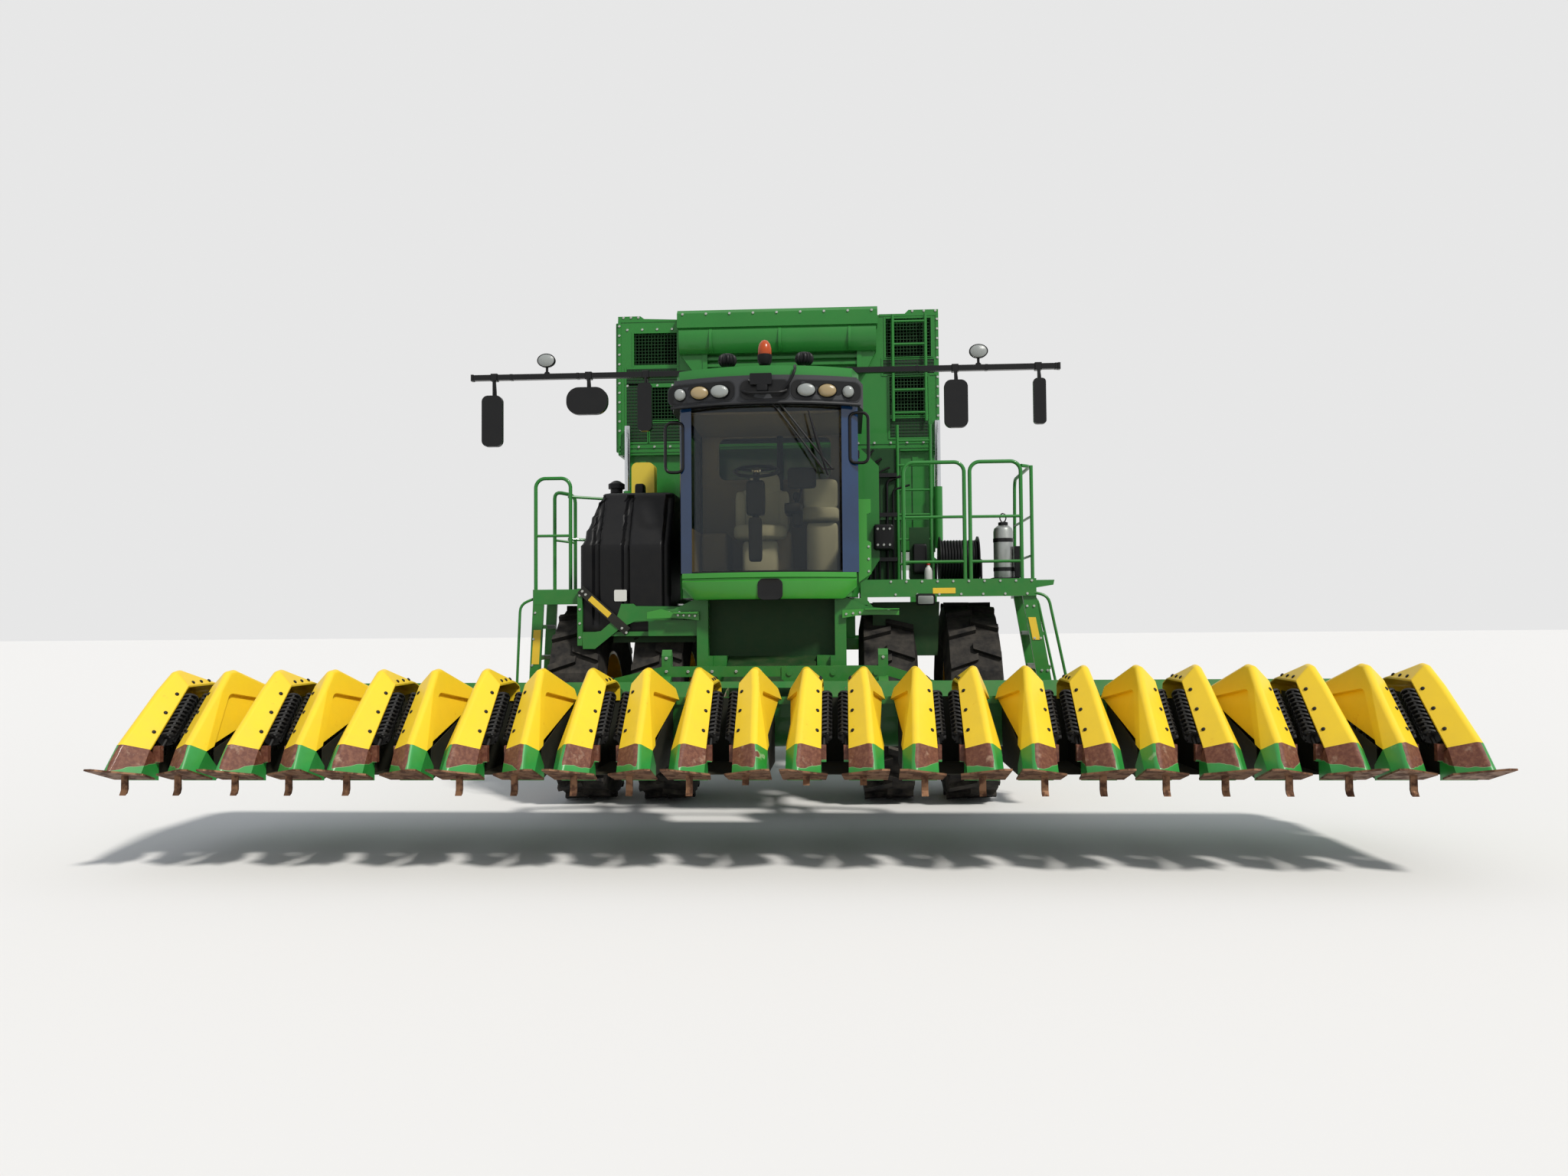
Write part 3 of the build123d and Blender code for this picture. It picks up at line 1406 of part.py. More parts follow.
with BuildPart() as basket_top:
    beam((basket_left, basket_right), (basket_front, basket_front + basket_length), (basket_split, basket_top_z))
    with Locations((
        (basket_left + basket_right) / 2, basket_front + basket_length / 2, (basket_split + basket_top_z - basket_wall) / 2
    )):
        Box(
            basket_right - basket_left - 2 * basket_wall,
            basket_length - 2 * basket_wall,
            basket_top_z - basket_wall - basket_split,
            mode=Mode.SUBTRACT,
        )
    with Locations((basket_right, sum(dump_y) / 2, sum(dump_z) / 2)):
        Box(4 * basket_wall, dump_y[1] - dump_y[0] + 16, dump_z[1] - dump_z[0] + 16, mode=Mode.SUBTRACT)
    for x, z in basket_windows:
        beam(x, (basket_front - 10, basket_front + basket_wall + 10), z, mode=Mode.SUBTRACT)
    side_plate(
        hood_x,
        [
            (basket_front + 1, hood_band[0]),
            (basket_front - 190, hood_band[0]),
            (basket_front - 190, hood_band[1] - 40),
            (basket_front - 150, hood_band[1]),
            (basket_front + 1, hood_band[1]),
        ],
    )
    discharge_chute((hood_x[0] + 15, hood_x[1] - 15), 0)
    for x in hood_ribs:
        discharge_chute((x - 15, x + 15), 25)
    for x in slat_ends:
        beam((x - 25, x + 25), (basket_front - 90, basket_front + 1), (4270, hood_foot + 10))
    for z in (4300, 4370, 4440):
        beam(slat_ends, (basket_front - 70, basket_front - 40), (z, z + 30))
    for outer, inner in ((hood_x[0] + 15, slat_ends[0]), (hood_x[1] - 15, slat_ends[1])):
        front_plate(
            (basket_front - 80, basket_front + 1),
            [(outer, hood_foot + 10), (inner, hood_foot + 10), (inner, 4290), (0.4 * outer + 0.6 * inner, 4290)],
        )
    for x in (970, 1310):
        rod((x, basket_front - 60, 3760), (x, basket_front - 60, 4885), 32)
        for z in (3800, 4873):
            rod((x, basket_front - 60, z), (x, basket_front, z), 24)
    for i in range(5):
        rod((970, basket_front - 60, 3850 + i * 240), (1310, basket_front - 60, 3850 + i * 240), 24)
    for y in dump_hinge_y:
        for dy in (-60, 48):
            beam((basket_right - 1, dump_hinge_x + 15), (y + dy, y + dy + 12), (dump_hinge_z - 18, dump_hinge_z + 15))
        rod((dump_hinge_x, y - 50, dump_hinge_z), (dump_hinge_x, y + 50, dump_hinge_z), 2 * dump_pin)
write(basket_top, "basket_top")

with BuildPart() as dump_door:
    beam((basket_right - basket_wall, basket_right), dump_y, dump_z)
    for y in dump_hinge_y:
        rod((dump_hinge_x, y - 42, dump_hinge_z), (dump_hinge_x, y + 42, dump_hinge_z), 30)
        beam((dump_hinge_x - 14, dump_hinge_x + 6), (y - 42, y + 42), (dump_hinge_z - 90, dump_hinge_z))
        beam((basket_right - 1, dump_hinge_x), (y - 42, y + 42), (dump_hinge_z - 90, dump_z[1] - 5))
        rod((dump_hinge_x, y - 90, dump_hinge_z), (dump_hinge_x, y + 90, dump_hinge_z), 2 * (dump_pin + pin_gap), mode=Mode.SUBTRACT)
write(dump_door, "dump_door")
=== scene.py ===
"""Cotton stripper: finishes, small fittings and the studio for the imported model, in metres.

The machine looks along -Y, +X is the operator's left and the floor is z = 0.
"""

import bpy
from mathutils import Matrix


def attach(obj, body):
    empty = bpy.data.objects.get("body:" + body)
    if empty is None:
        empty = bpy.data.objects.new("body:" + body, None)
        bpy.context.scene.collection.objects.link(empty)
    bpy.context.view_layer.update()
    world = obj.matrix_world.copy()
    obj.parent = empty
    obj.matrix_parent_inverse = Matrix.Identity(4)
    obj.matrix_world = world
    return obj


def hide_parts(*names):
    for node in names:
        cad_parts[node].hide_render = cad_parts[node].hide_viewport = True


bl_info = {
    "name": "Cotton stripper",
    "version": (1, 0, 0),
    "blender": (4, 5, 0),
    "location": "View3D > Sidebar > Cotton Stripper",
    "description": "Finishes and small fittings of a twelve-row cotton stripper",
    "category": "Object",
}

import bmesh
import bpy
import numpy as np
from bpy.props import FloatProperty, FloatVectorProperty, PointerProperty
from mathutils import Matrix, Vector

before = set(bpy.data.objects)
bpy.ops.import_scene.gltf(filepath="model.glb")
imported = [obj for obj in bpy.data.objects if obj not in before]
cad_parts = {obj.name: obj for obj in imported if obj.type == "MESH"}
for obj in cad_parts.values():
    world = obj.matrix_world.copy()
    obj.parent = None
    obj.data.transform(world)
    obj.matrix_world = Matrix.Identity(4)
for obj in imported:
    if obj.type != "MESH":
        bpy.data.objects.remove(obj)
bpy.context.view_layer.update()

# The line of the header's digger tines, and its rows
TINE_LINE = -4.27
ROW_PITCH = 0.762
ROWS = 12
# The machine's and the cab's middle. The cab's front bows back by CAB_BOW at CAB_BOW_HALF from its middle,
# and its visor at VISOR_BOW_HALF. The roof's green part begins at ROOF_JOINT.
MACHINE_X = -0.20
CAB_X = -0.23
CAB_FRONT = -1.97
CAB_BOW = 0.18
CAB_BOW_HALF = 0.74
VISOR_BOW_HALF = 0.80
ROOF_JOINT = 3.80
BEACON = (-0.266, -1.37, 3.886)
# y and z of the mirrors' bar
MIRROR_BAR = (TINE_LINE + 2.80, 3.95)
# The basket's sliding top
BASKET_FRONT = 0.13
BASKET_LENGTH = 4.10
BASKET_X = (-1.94, 1.45)
# Distance behind the tines and height of each axle, and how far its tyres stand from the machine's middle
FRONT_AXLE = (3.5, 0.925)
REAR_AXLE = (6.9, 0.640)
INNER_TYRE = 1.041
REAR_TYRE = 1.150
DECK_TOP = 2.001
# Half the floor's width, the width of the frame in pixels and of the camera's sensor
FLOOR_SPREAD = 160.0
FRAME_PIXELS = 2048
SENSOR_MM = 36
# Direction in which the machine looks
FORWARD = (0, -1, 0)


# Shapes


def lattice(rows, columns, close_rows=False, close_columns=False):
    """Quads of a grid of rows by columns of points, joined round where it closes."""
    a = np.arange(rows if close_rows else rows - 1)
    b = np.arange(columns if close_columns else columns - 1)
    i, j = np.meshgrid(a, b, indexing="ij")
    i2, j2 = (i + 1) % rows, (j + 1) % columns
    corners = (i * columns + j, i2 * columns + j, i2 * columns + j2, i * columns + j2)
    return np.stack(corners, axis=-1).reshape(-1, 4)


def shell(grid, close_rows=False, close_columns=False, caps=False):
    """A surface through a grid of points, with its two end rows closed by flat caps."""
    rows, columns = grid.shape[:2]
    faces = lattice(rows, columns, close_rows, close_columns).tolist()
    if caps:
        faces.append(list(range(columns)))
        faces.append(list(range((rows - 1) * columns, rows * columns))[::-1])
    return grid.reshape(-1, 3), faces


def copies(part, matrices):
    """One shell repeated by a stack of 4 by 4 matrices: each point is turned and moved by each."""
    points, faces = part
    homogeneous = np.c_[points, np.ones(len(points))]
    placed = np.einsum("nij,kj->nki", matrices, homogeneous)[..., :3]
    shift = (np.arange(len(matrices)) * len(points)).tolist()
    return placed.reshape(-1, 3), [[i + s for i in face] for s in shift for face in faces]


def joined(parts):
    """Several shells as one: points stacked and the faces' numbers shifted."""
    parts = list(parts)
    shift = np.cumsum([0] + [len(points) for points, _ in parts[:-1]]).tolist()
    faces = [[i + s for i in face] for s, (_, own) in zip(shift, parts) for face in own]
    return np.concatenate([points for points, _ in parts]), faces


def angles(count):
    """Angles spaced evenly round a circle."""
    return np.linspace(0, 2 * np.pi, count, endpoint=False)


def tube(path, radius, sides=10, closed=False):
    """A round profile carried along a path: each ring is centre + r (cos t n + sin t b),
    where n and b are square to the path's direction there."""
    path = np.asarray(path, float)
    if closed:
        along = np.roll(path, -1, 0) - np.roll(path, 1, 0)
    else:
        along = np.gradient(path, axis=0)
    along /= np.linalg.norm(along, axis=1, keepdims=True)
    spread = np.ptp(path, axis=0)
    steady = np.eye(3)[int(np.argmin(spread))]
    n = np.cross(along, steady)
    n /= np.linalg.norm(n, axis=1, keepdims=True)
    b = np.cross(along, n)
    t = angles(sides)
    radius = np.broadcast_to(np.asarray(radius, float), (len(path),))[:, None, None]
    ring = np.cos(t)[None, :, None] * n[:, None] + np.sin(t)[None, :, None] * b[:, None]
    return shell(path[:, None] + radius * ring, closed, True, caps=not closed)


def turned(profile, sides=24):
    """A profile of (height, radius) pairs turned about Z: (r cos t, r sin t, h)."""
    profile = np.asarray(profile, float)
    t = angles(sides)
    r, h = profile[:, 1:2], profile[:, 0:1]
    grid = np.stack([r * np.cos(t), r * np.sin(t), np.broadcast_to(h, (len(profile), sides))], -1)
    return shell(grid[::-1], False, True, caps=True)


def pillow(size, power, sides=28, rings=15):
    """A rounded block: a ball's sine and cosine each raised to a power below one, then scaled."""
    t = angles(sides)[None, :]
    p = np.linspace(-np.pi / 2 + 0.06, np.pi / 2 - 0.06, rings)[:, None]

    def eased(value):
        return np.sign(value) * np.abs(value) ** power

    flat = eased(np.cos(p))
    height = np.broadcast_to(eased(np.sin(p)), (rings, sides))
    grid = np.stack([flat * eased(np.cos(t)), flat * eased(np.sin(t)), height], -1)
    return shell(grid[::-1] * (np.asarray(size) / 2), False, True, caps=True)


def slab(low, high):
    """A plain bar between two corners, used only inside larger joined pieces."""
    low, high = np.asarray(low, float), np.asarray(high, float)
    square = np.array([[0, 0], [1, 0], [1, 1], [0, 1]], float)
    grid = np.stack([np.c_[square, np.full(4, h)] for h in (1.0, 0.0)])
    return shell(low + grid * (high - low), False, True, caps=True)


def round_box(width, height, radius, steps=6):
    """A rectangle with round corners, as (across, up) points of four quarter circles."""
    t = np.linspace(0, np.pi / 2, steps)
    corners = []
    for k, (a, b) in enumerate(((1, 1), (-1, 1), (-1, -1), (1, -1))):
        centre = np.array([a * (width / 2 - radius), b * (height / 2 - radius)])
        angle = t + k * np.pi / 2
        corners.append(centre + radius * np.stack([np.cos(angle), np.sin(angle)], 1))
    return np.concatenate(corners)


def even(outline, count):
    """A closed outline resampled to evenly spaced points along its length."""
    loop = np.vstack([outline, outline[:1]])
    along = np.r_[0, np.cumsum(np.linalg.norm(np.diff(loop, axis=0), axis=1))]
    wanted = np.linspace(0, along[-1], count, endpoint=False)
    return np.stack([np.interp(wanted, along, loop[:, k]) for k in range(2)], 1)


def drawn(outline, profile):
    """An outline carried along Z and shrunk: each ring is scale times the outline at that height."""
    outline, profile = np.asarray(outline, float), np.asarray(profile, float)
    flat = outline[None] * profile[:, 1][:, None, None]
    height = np.broadcast_to(profile[:, 0][:, None, None], (*flat.shape[:2], 1))
    return shell(np.concatenate([flat, height], -1), False, True, caps=True)


def panel(outline, y, edge=0.004):
    """A plate seen from the front: an (x, z) outline from y[0] to y[1] with a small bevel at its rim."""
    outline = np.asarray(outline, float)
    centre = outline.mean(0)
    reach = np.linalg.norm(outline - centre, axis=1).max()
    part = drawn(
        outline - centre,
        [(0, 1 - edge / reach), (edge, 1), (y[1] - y[0] - edge, 1), (y[1] - y[0], 1 - edge / reach)],
    )
    return turned_to(part, (centre[0], y[1], centre[1]), FORWARD)


def block(low, high, edge=0.004):
    """A bar between two corners with a small bevel along its front and back rims."""
    (x0, y0, z0), (x1, y1, z1) = low, high
    return panel([(x0, z0), (x1, z0), (x1, z1), (x0, z1)], (y0, y1), min(edge, (y1 - y0) / 4))


def bent(points, radius, steps=5):
    """A path with its corners rounded: near each corner the path is the quadratic curve
    (1 - t)^2 a + 2 t (1 - t) corner + t^2 b between the places a and b, one radius away from it."""
    points = np.asarray(points, float)
    path = [points[:1]]
    t = np.linspace(0, 1, steps)[:, None]
    for before, corner, after in zip(points[:-2], points[1:-1], points[2:]):
        a = corner + (before - corner) * min(radius / np.linalg.norm(before - corner), 0.45)
        b = corner + (after - corner) * min(radius / np.linalg.norm(after - corner), 0.45)
        path.append((1 - t) ** 2 * a + 2 * t * (1 - t) * corner + t**2 * b)
    path.append(points[-1:])
    return np.concatenate(path)


def perforated(x, z, y, pitch, wire):
    """A lattice of flat wires over a front-facing rectangle, evenly spaced both ways."""
    across = np.arange(x[0] + pitch / 2, x[1], pitch)
    up = np.arange(z[0] + pitch / 2, z[1], pitch)
    parts = [slab((a - wire / 2, y, z[0]), (a + wire / 2, y + wire / 3, z[1])) for a in across]
    parts += [slab((x[0], y - wire / 3, b - wire / 2), (x[1], y, b + wire / 2)) for b in up]
    return joined(parts)


def heads(lines, radius):
    """Six-sided bolt heads evenly spaced along lines, each given as (start, end, count), facing forward."""
    places = np.concatenate([np.linspace(start, end, count) for start, end, count in lines])
    low, high = (0.5 * radius, radius), (0.65 * radius, 0.8 * radius)
    head = turned([(-0.004, radius), low, high, (0.65 * radius, 0.2 * radius)], 6)
    return copies(head, frames_at(places, np.broadcast_to(np.asarray(FORWARD, float), places.shape)))


def turned_to(part, place, direction=(0, 0, 1)):
    """A shell moved to a place with its Z axis turned to a direction."""
    turn = Vector(direction).to_track_quat("Z", "Y").to_matrix().to_4x4()
    return copies(part, np.array(Matrix.Translation(place) @ turn)[None])


def lump(size, power, place):
    """A rounded block at a place."""
    return turned_to(pillow(size, power), place)


def oval(width, height, sides=32):
    """An ellipse's outline: (width / 2 cos t, height / 2 sin t)."""
    t = angles(sides)
    return np.stack([width / 2 * np.cos(t), height / 2 * np.sin(t)], 1)


def frames_at(places, directions):
    """Stacked 4 by 4 matrices that put Z along each direction at each place."""
    z = np.asarray(directions, float)
    z = z / np.linalg.norm(z, axis=1, keepdims=True)
    guide = np.where(np.abs(z[:, :1]) < 0.9, [[1.0, 0, 0]], [[0, 1.0, 0]])
    y = np.cross(z, guide)
    y /= np.linalg.norm(y, axis=1, keepdims=True)
    x = np.cross(y, z)
    matrices = np.zeros((len(z), 4, 4))
    matrices[:, :3, 0], matrices[:, :3, 1], matrices[:, :3, 2] = x, y, z
    matrices[:, :3, 3] = places
    matrices[:, 3, 3] = 1
    return matrices


def piece(name, part, finish, body="chassis", smooth=35.0):
    """A mesh object from a shell or a list of them, shaded smooth up to an angle. It rides on a CAD body."""
    mesh = bpy.data.meshes.new(name)
    points, faces = joined(part) if isinstance(part, list) else part
    mesh.from_pydata(points.tolist(), [], faces)
    mesh.validate()
    outward = bmesh.new()
    outward.from_mesh(mesh)
    bmesh.ops.recalc_face_normals(outward, faces=outward.faces)
    outward.to_mesh(mesh)
    outward.free()
    mesh.shade_smooth()
    mesh.set_sharp_from_angle(angle=np.radians(smooth))
    mesh.materials.append(bpy.data.materials[finish])
    made = bpy.data.objects.new(name, mesh)
    bpy.context.collection.objects.link(made)
    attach(made, body)
    return made


def behind(distance):
    """The y of a place this far behind the line of the digger tines."""
    return TINE_LINE + distance


def row_centres():
    """The x of every row's middle."""
    return (np.arange(ROWS) - (ROWS - 1) / 2) * ROW_PITCH


def on_plane(corners, x, y):
    """Height of the plane through three corners at x and y, and the plane's upward normal."""
    a, b, c = (np.asarray(corner, float) for corner in corners)
    normal = np.cross(b - a, c - a)
    normal *= np.sign(normal[2]) / np.linalg.norm(normal)
    height = a[2] - (normal[0] * (x - a[0]) + normal[1] * (y - a[1])) / normal[2]
    return height, normal


# Finishes


# Settings of the nodes that mix colours and that work out numbers kept from 0 to 1
COLOURS = {"data_type": "RGBA"}
PRODUCT = {"operation": "MULTIPLY", "use_clamp": True}
SUM = {"operation": "ADD", "use_clamp": True}


def linear(code):
    """A hex colour as Blender's linear values."""
    value = np.array([int(code[i : i + 2], 16) for i in (1, 3, 5)]) / 255
    curved = np.where(value <= 0.04045, value / 12.92, ((value + 0.055) / 1.055) ** 2.4)
    return (*curved.tolist(), 1.0)


def add(tree, kind, sockets=None, **settings):
    """Adds one shader node: settings are its own, and sockets hold values, or the outputs or nodes that
    feed it, a node by the first of its outputs in use."""
    made = tree.nodes.new("ShaderNode" + kind)
    for name, value in settings.items():
        setattr(made, name, value)
    for name, value in (sockets or {}).items():
        if isinstance(value, bpy.types.Node):
            value = next(output for output in value.outputs if output.enabled)
        if isinstance(value, bpy.types.NodeSocket):
            tree.links.new(value, made.inputs[name])
        else:
            made.inputs[name].default_value = value
    return made


def blank(name):
    """A new material with an empty tree, its output and Object coordinates."""
    made = bpy.data.materials.new(name)
    made.use_nodes = True
    tree = made.node_tree
    tree.nodes.clear()
    output = add(tree, "OutputMaterial")
    place = add(tree, "TexCoord").outputs["Object"]
    return tree, output, place


def span(start, end, first=0.0, last=1.0):
    """The sockets that carry start..end to first..last, held past both ends."""
    return {"From Min": start, "From Max": end, "To Min": first, "To Max": last}


def patches(tree, place, scale, low, high, detail=5.0):
    """A noise of this scale turned into patches: 0 below low, 1 above high."""
    cloud = add(tree, "TexNoise", {"Vector": place, "Scale": scale, "Detail": detail, "Roughness": 0.6})
    return add(tree, "MapRange", {"Value": cloud, **span(low, high)})


def facing(tree, axis):
    """How far the surface looks along an axis: that coordinate of its normal."""
    normal = add(tree, "NewGeometry").outputs["Normal"]
    return add(tree, "SeparateXYZ", {"Vector": normal}).outputs[axis]


def coated(tree, output, sockets, relief=None):
    """The material's surface: its shader, with (height, strength, distance) as its relief."""
    if relief:
        height, strength, distance = relief
        sockets["Normal"] = add(tree, "Bump", {"Strength": strength, "Distance": distance, "Height": height})
    skin = add(tree, "BsdfPrincipled", sockets)
    tree.links.new(skin.outputs[0], output.inputs["Surface"])


def dusted(name, paint, dust="#8c7a58", worn=None, roughness=0.4, coat=0.0, metallic=0.0, dust_top=2.0,
           dust_amount=0.6, wear=(0.62, 0.70), grain=120.0, bump=0.05, shade=0.12, specular=0.5):
    """A painted or moulded skin that has been in the field. The colour drifts slowly over the part,
    dust gathers low down and on faces that look up, and worn patches show where a third colour is given.
    Noise is in cells per metre: the colour drifts over 600 mm, dust lies in clouds of 110 mm, and worn
    patches are 70 mm wide."""
    tree, output, place = blank(name)
    drift = patches(tree, place, 1.7, 0.3, 0.7)
    deep = tuple(value * (1 - shade) for value in linear(paint)[:3]) + (1.0,)
    colour = add(tree, "Mix", {0: drift, 6: deep, 7: linear(paint)}, **COLOURS)
    looks_up = add(tree, "MapRange", {"Value": facing(tree, "Z"), **span(-0.3, 1.0, 0.35, 1.0)})
    height = add(tree, "SeparateXYZ", {"Vector": place}).outputs["Z"]
    low_down = add(tree, "MapRange", {"Value": height, **span(0.2, dust_top, 1.0, 0.15)})
    settled = add(tree, "Math", {0: low_down, 1: looks_up}, **PRODUCT)
    film = add(tree, "Math", {0: patches(tree, place, 9.0, 0.32, 0.72, 8.0), 1: dust_amount}, **PRODUCT)
    dusting = add(tree, "Math", {0: settled, 1: film}, **PRODUCT)
    colour = add(tree, "Mix", {0: dusting, 6: colour, 7: linear(dust)}, **COLOURS)
    rough = add(tree, "MapRange", {"Value": dusting, **span(0.0, 1.0, roughness, 0.9)})
    if worn:
        bare = patches(tree, place, 14.0, wear[0], wear[1], 7.0)
        colour = add(tree, "Mix", {0: bare, 6: colour, 7: linear(worn)}, **COLOURS)
        rougher = add(tree, "Math", {0: bare, 1: 0.25}, **PRODUCT)
        rough = add(tree, "Math", {0: rough, 1: rougher}, **SUM)
    sockets = {"Base Color": colour, "Roughness": rough, "Metallic": metallic, "Coat Weight": coat,
               "Specular IOR Level": specular}
    fine = add(tree, "TexNoise", {"Vector": place, "Scale": grain, "Detail": 3.0})
    coated(tree, output, sockets, (fine, bump, 0.004))


# name: paint, dust, worn colour and the settings that differ from a dusted skin's.
# A grain is in cells per metre: 60 is 17 mm, 120 is 8 mm, 500 to 900 are 2 to 1 mm. Real moulding grain,
# orange peel and weave are finer than 1 mm, and are drawn this coarse so that they show.
SKINS = {
    # Enamel sprayed on steel plate: even and glossy under a thin film of dust
    "green_enamel": dict(paint="#23772c", coat=0.15, roughness=0.35, dust_top=3.0, dust_amount=0.3,
        specular=0.35),
    # The same enamel painted darker and duller as painted shade, for parts in the shade of the cab and the
    # basket
    "green_enamel_painted_shade": dict(paint="#133d1b", dust="#6d6048", roughness=0.5, dust_top=3.5, dust_amount=0.3,
        specular=0.25),
    # The same enamel painted lighter as painted light, for the cab's sill and the step brackets: brighter and
    # glossier
    "green_enamel_painted_light": dict(paint="#35912f", coat=0.2, roughness=0.32, dust_top=2.0, dust_amount=0.3,
        specular=0.4),
    # The same enamel rubbed by the crop: brown steel shows in patches
    "green_enamel_auger": dict(paint="#2b6a2c", worn="#6b5a4a", coat=0.2, roughness=0.45, wear=(0.50, 0.56),
        dust_top=2.0),
    # Rotationally moulded polyethylene: strong in colour, slightly waxy, rubbed in wide patches
    "yellow_polyethylene": dict(paint="#f4cf27", dust="#b9994a", roughness=0.36, dust_top=1.5,
        dust_amount=0.35, worn="#dfae22", wear=(0.66, 0.78), bump=0.03, shade=0.07),
    # Enamel on the wheels' steel discs: glossy under brown field dust
    "yellow_enamel": dict(paint="#edbd1c", dust="#8a7350", coat=0.25, roughness=0.4, dust_top=2.2,
        dust_amount=0.7),
    # Plain steel polished and browned by soil: a warm metal sheen with darker rust
    "rubbed_steel": dict(paint="#7d5a40", dust="#8a6544", worn="#4d3222", metallic=0.55, roughness=0.5,
        wear=(0.45, 0.58), dust_top=1.4, grain=60.0, bump=0.12),
    # Black-painted steel darkened further as painted shade, for parts in the shade below: hardly any light
    # comes back
    "shaded_steel": dict(paint="#161917", dust="#5f5544", roughness=0.5, dust_top=2.5, specular=0.3),
    # Hot-dip galvanised steel: a pale grey metal with a soft blur
    "galvanised_steel": dict(paint="#a9adab", metallic=0.85, roughness=0.38, dust_amount=0.25, dust_top=3.0,
        grain=60.0),
    # Zinc-plated bolt heads: small bright points
    "zinc_bolts": dict(paint="#b9bcb6", metallic=0.9, roughness=0.35, dust_amount=0.2),
    # Rotationally moulded black polyethylene with a leather grain: a soft, broken gleam
    "black_polyethylene": dict(paint="#0d0e11", dust="#5d564a", roughness=0.45, dust_top=3.0,
        dust_amount=0.15, grain=500.0, bump=0.08, specular=0.22),
    # Black enamel on steel tube: deep black with a sharper gleam
    "black_enamel": dict(paint="#0b0c0e", dust="#6d6454", roughness=0.3, dust_amount=0.15, specular=0.3),
    # Moulded ABS with a fine grain: dark grey and matt
    "grey_visor_plastic": dict(paint="#26282c", dust="#77705f", roughness=0.5, dust_top=4.5, dust_amount=0.2,
        grain=600.0, bump=0.1, specular=0.3),
    # Vulcanised tyre rubber: matt black with brown dust
    "dusty_tyre_rubber": dict(paint="#121214", dust="#7c7468", roughness=0.8, dust_top=2.2, dust_amount=0.7,
        grain=90.0, bump=0.15, specular=0.25),
    # Moulded rubber ribs of the rolls: black with a faint gleam on their edges
    "roll_brush_rubber": dict(paint="#0c0c0d", dust="#3f382c", roughness=0.5, dust_top=1.5, dust_amount=0.25,
        specular=0.4),
    # Worn perforated steel: dark, rust brown in patches and nearly matt
    "screen_steel": dict(paint="#24281f", dust="#54472f", worn="#3c2d1f", metallic=0.3, roughness=0.65,
        dust_top=1.5),
    # Sheets behind the basket's mesh, a matt green black: painted shade for the basket's shaded inside
    "mesh_painted_shade": dict(paint="#0f2413", dust="#3f3a2c", roughness=0.7, dust_top=3.0),
    # Woven seat cloth: pale and without gloss
    "seat_cloth": dict(paint="#c4c9c2", dust="#c4c9c2", roughness=0.95, dust_amount=0.1, grain=900.0,
        bump=0.3, shade=0.06),
    # Pressed felt lining: warm grey and without gloss
    "cab_lining": dict(paint="#8f897b", dust="#8f897b", roughness=0.85, dust_amount=0.1, grain=700.0,
        bump=0.15),
    # Hard chrome on rods and mirrors: a bright, sharp mirror
    "hard_chrome": dict(paint="#d4d7da", metallic=1.0, roughness=0.12, dust_amount=0.1, dust_top=3.0),
    # Pressed lamp glass over a reflector: pale, rippled and glossy
    "clear_lamp_glass": dict(paint="#8f9492", dust="#928b7a", coat=0.4, roughness=0.22, dust_amount=0.25,
        dust_top=6.0, grain=300.0, bump=0.25),
    # The same glass with a warm tint
    "amber_tinted_lens": dict(paint="#a08c64", dust="#8f8062", coat=0.4, roughness=0.22, dust_amount=0.25,
        dust_top=6.0, grain=300.0, bump=0.25),
    # Moulded polycarbonate: a glossy, deep amber
    "beacon_plastic": dict(paint="#b5440a", dust="#a0562a", specular=0.3, coat=0.3, roughness=0.25,
        dust_amount=0.1, dust_top=5.0),
    # Blow-moulded polyethylene: a waxy yellow
    "yellow_tank_plastic": dict(paint="#d8bf3a", roughness=0.45, dust_amount=0.25, dust_top=4.0),
    # Curved glass with the sky's reflection painted in: a deep blue painted reflection
    "corner_glass_painted_reflection": dict(paint="#12345c", dust="#12345c", coat=0.5, roughness=0.12, dust_amount=0.1,
        dust_top=4.0, shade=0.35, grain=40.0, bump=0.01),
    # Moulded white plastic: clean and half matt
    "white_plastic": dict(paint="#d9d9d4", roughness=0.4, dust_amount=0.3, dust_top=2.5),
    # Moulded red plastic: half glossy
    "red_plastic": dict(paint="#a4251d", roughness=0.35, dust_amount=0.2, dust_top=3.0),
    # Yellow marking tape: half matt
    "yellow_stripe": dict(paint="#e8c232", dust="#a08446", roughness=0.5, dust_amount=0.3, dust_top=3.0),
}


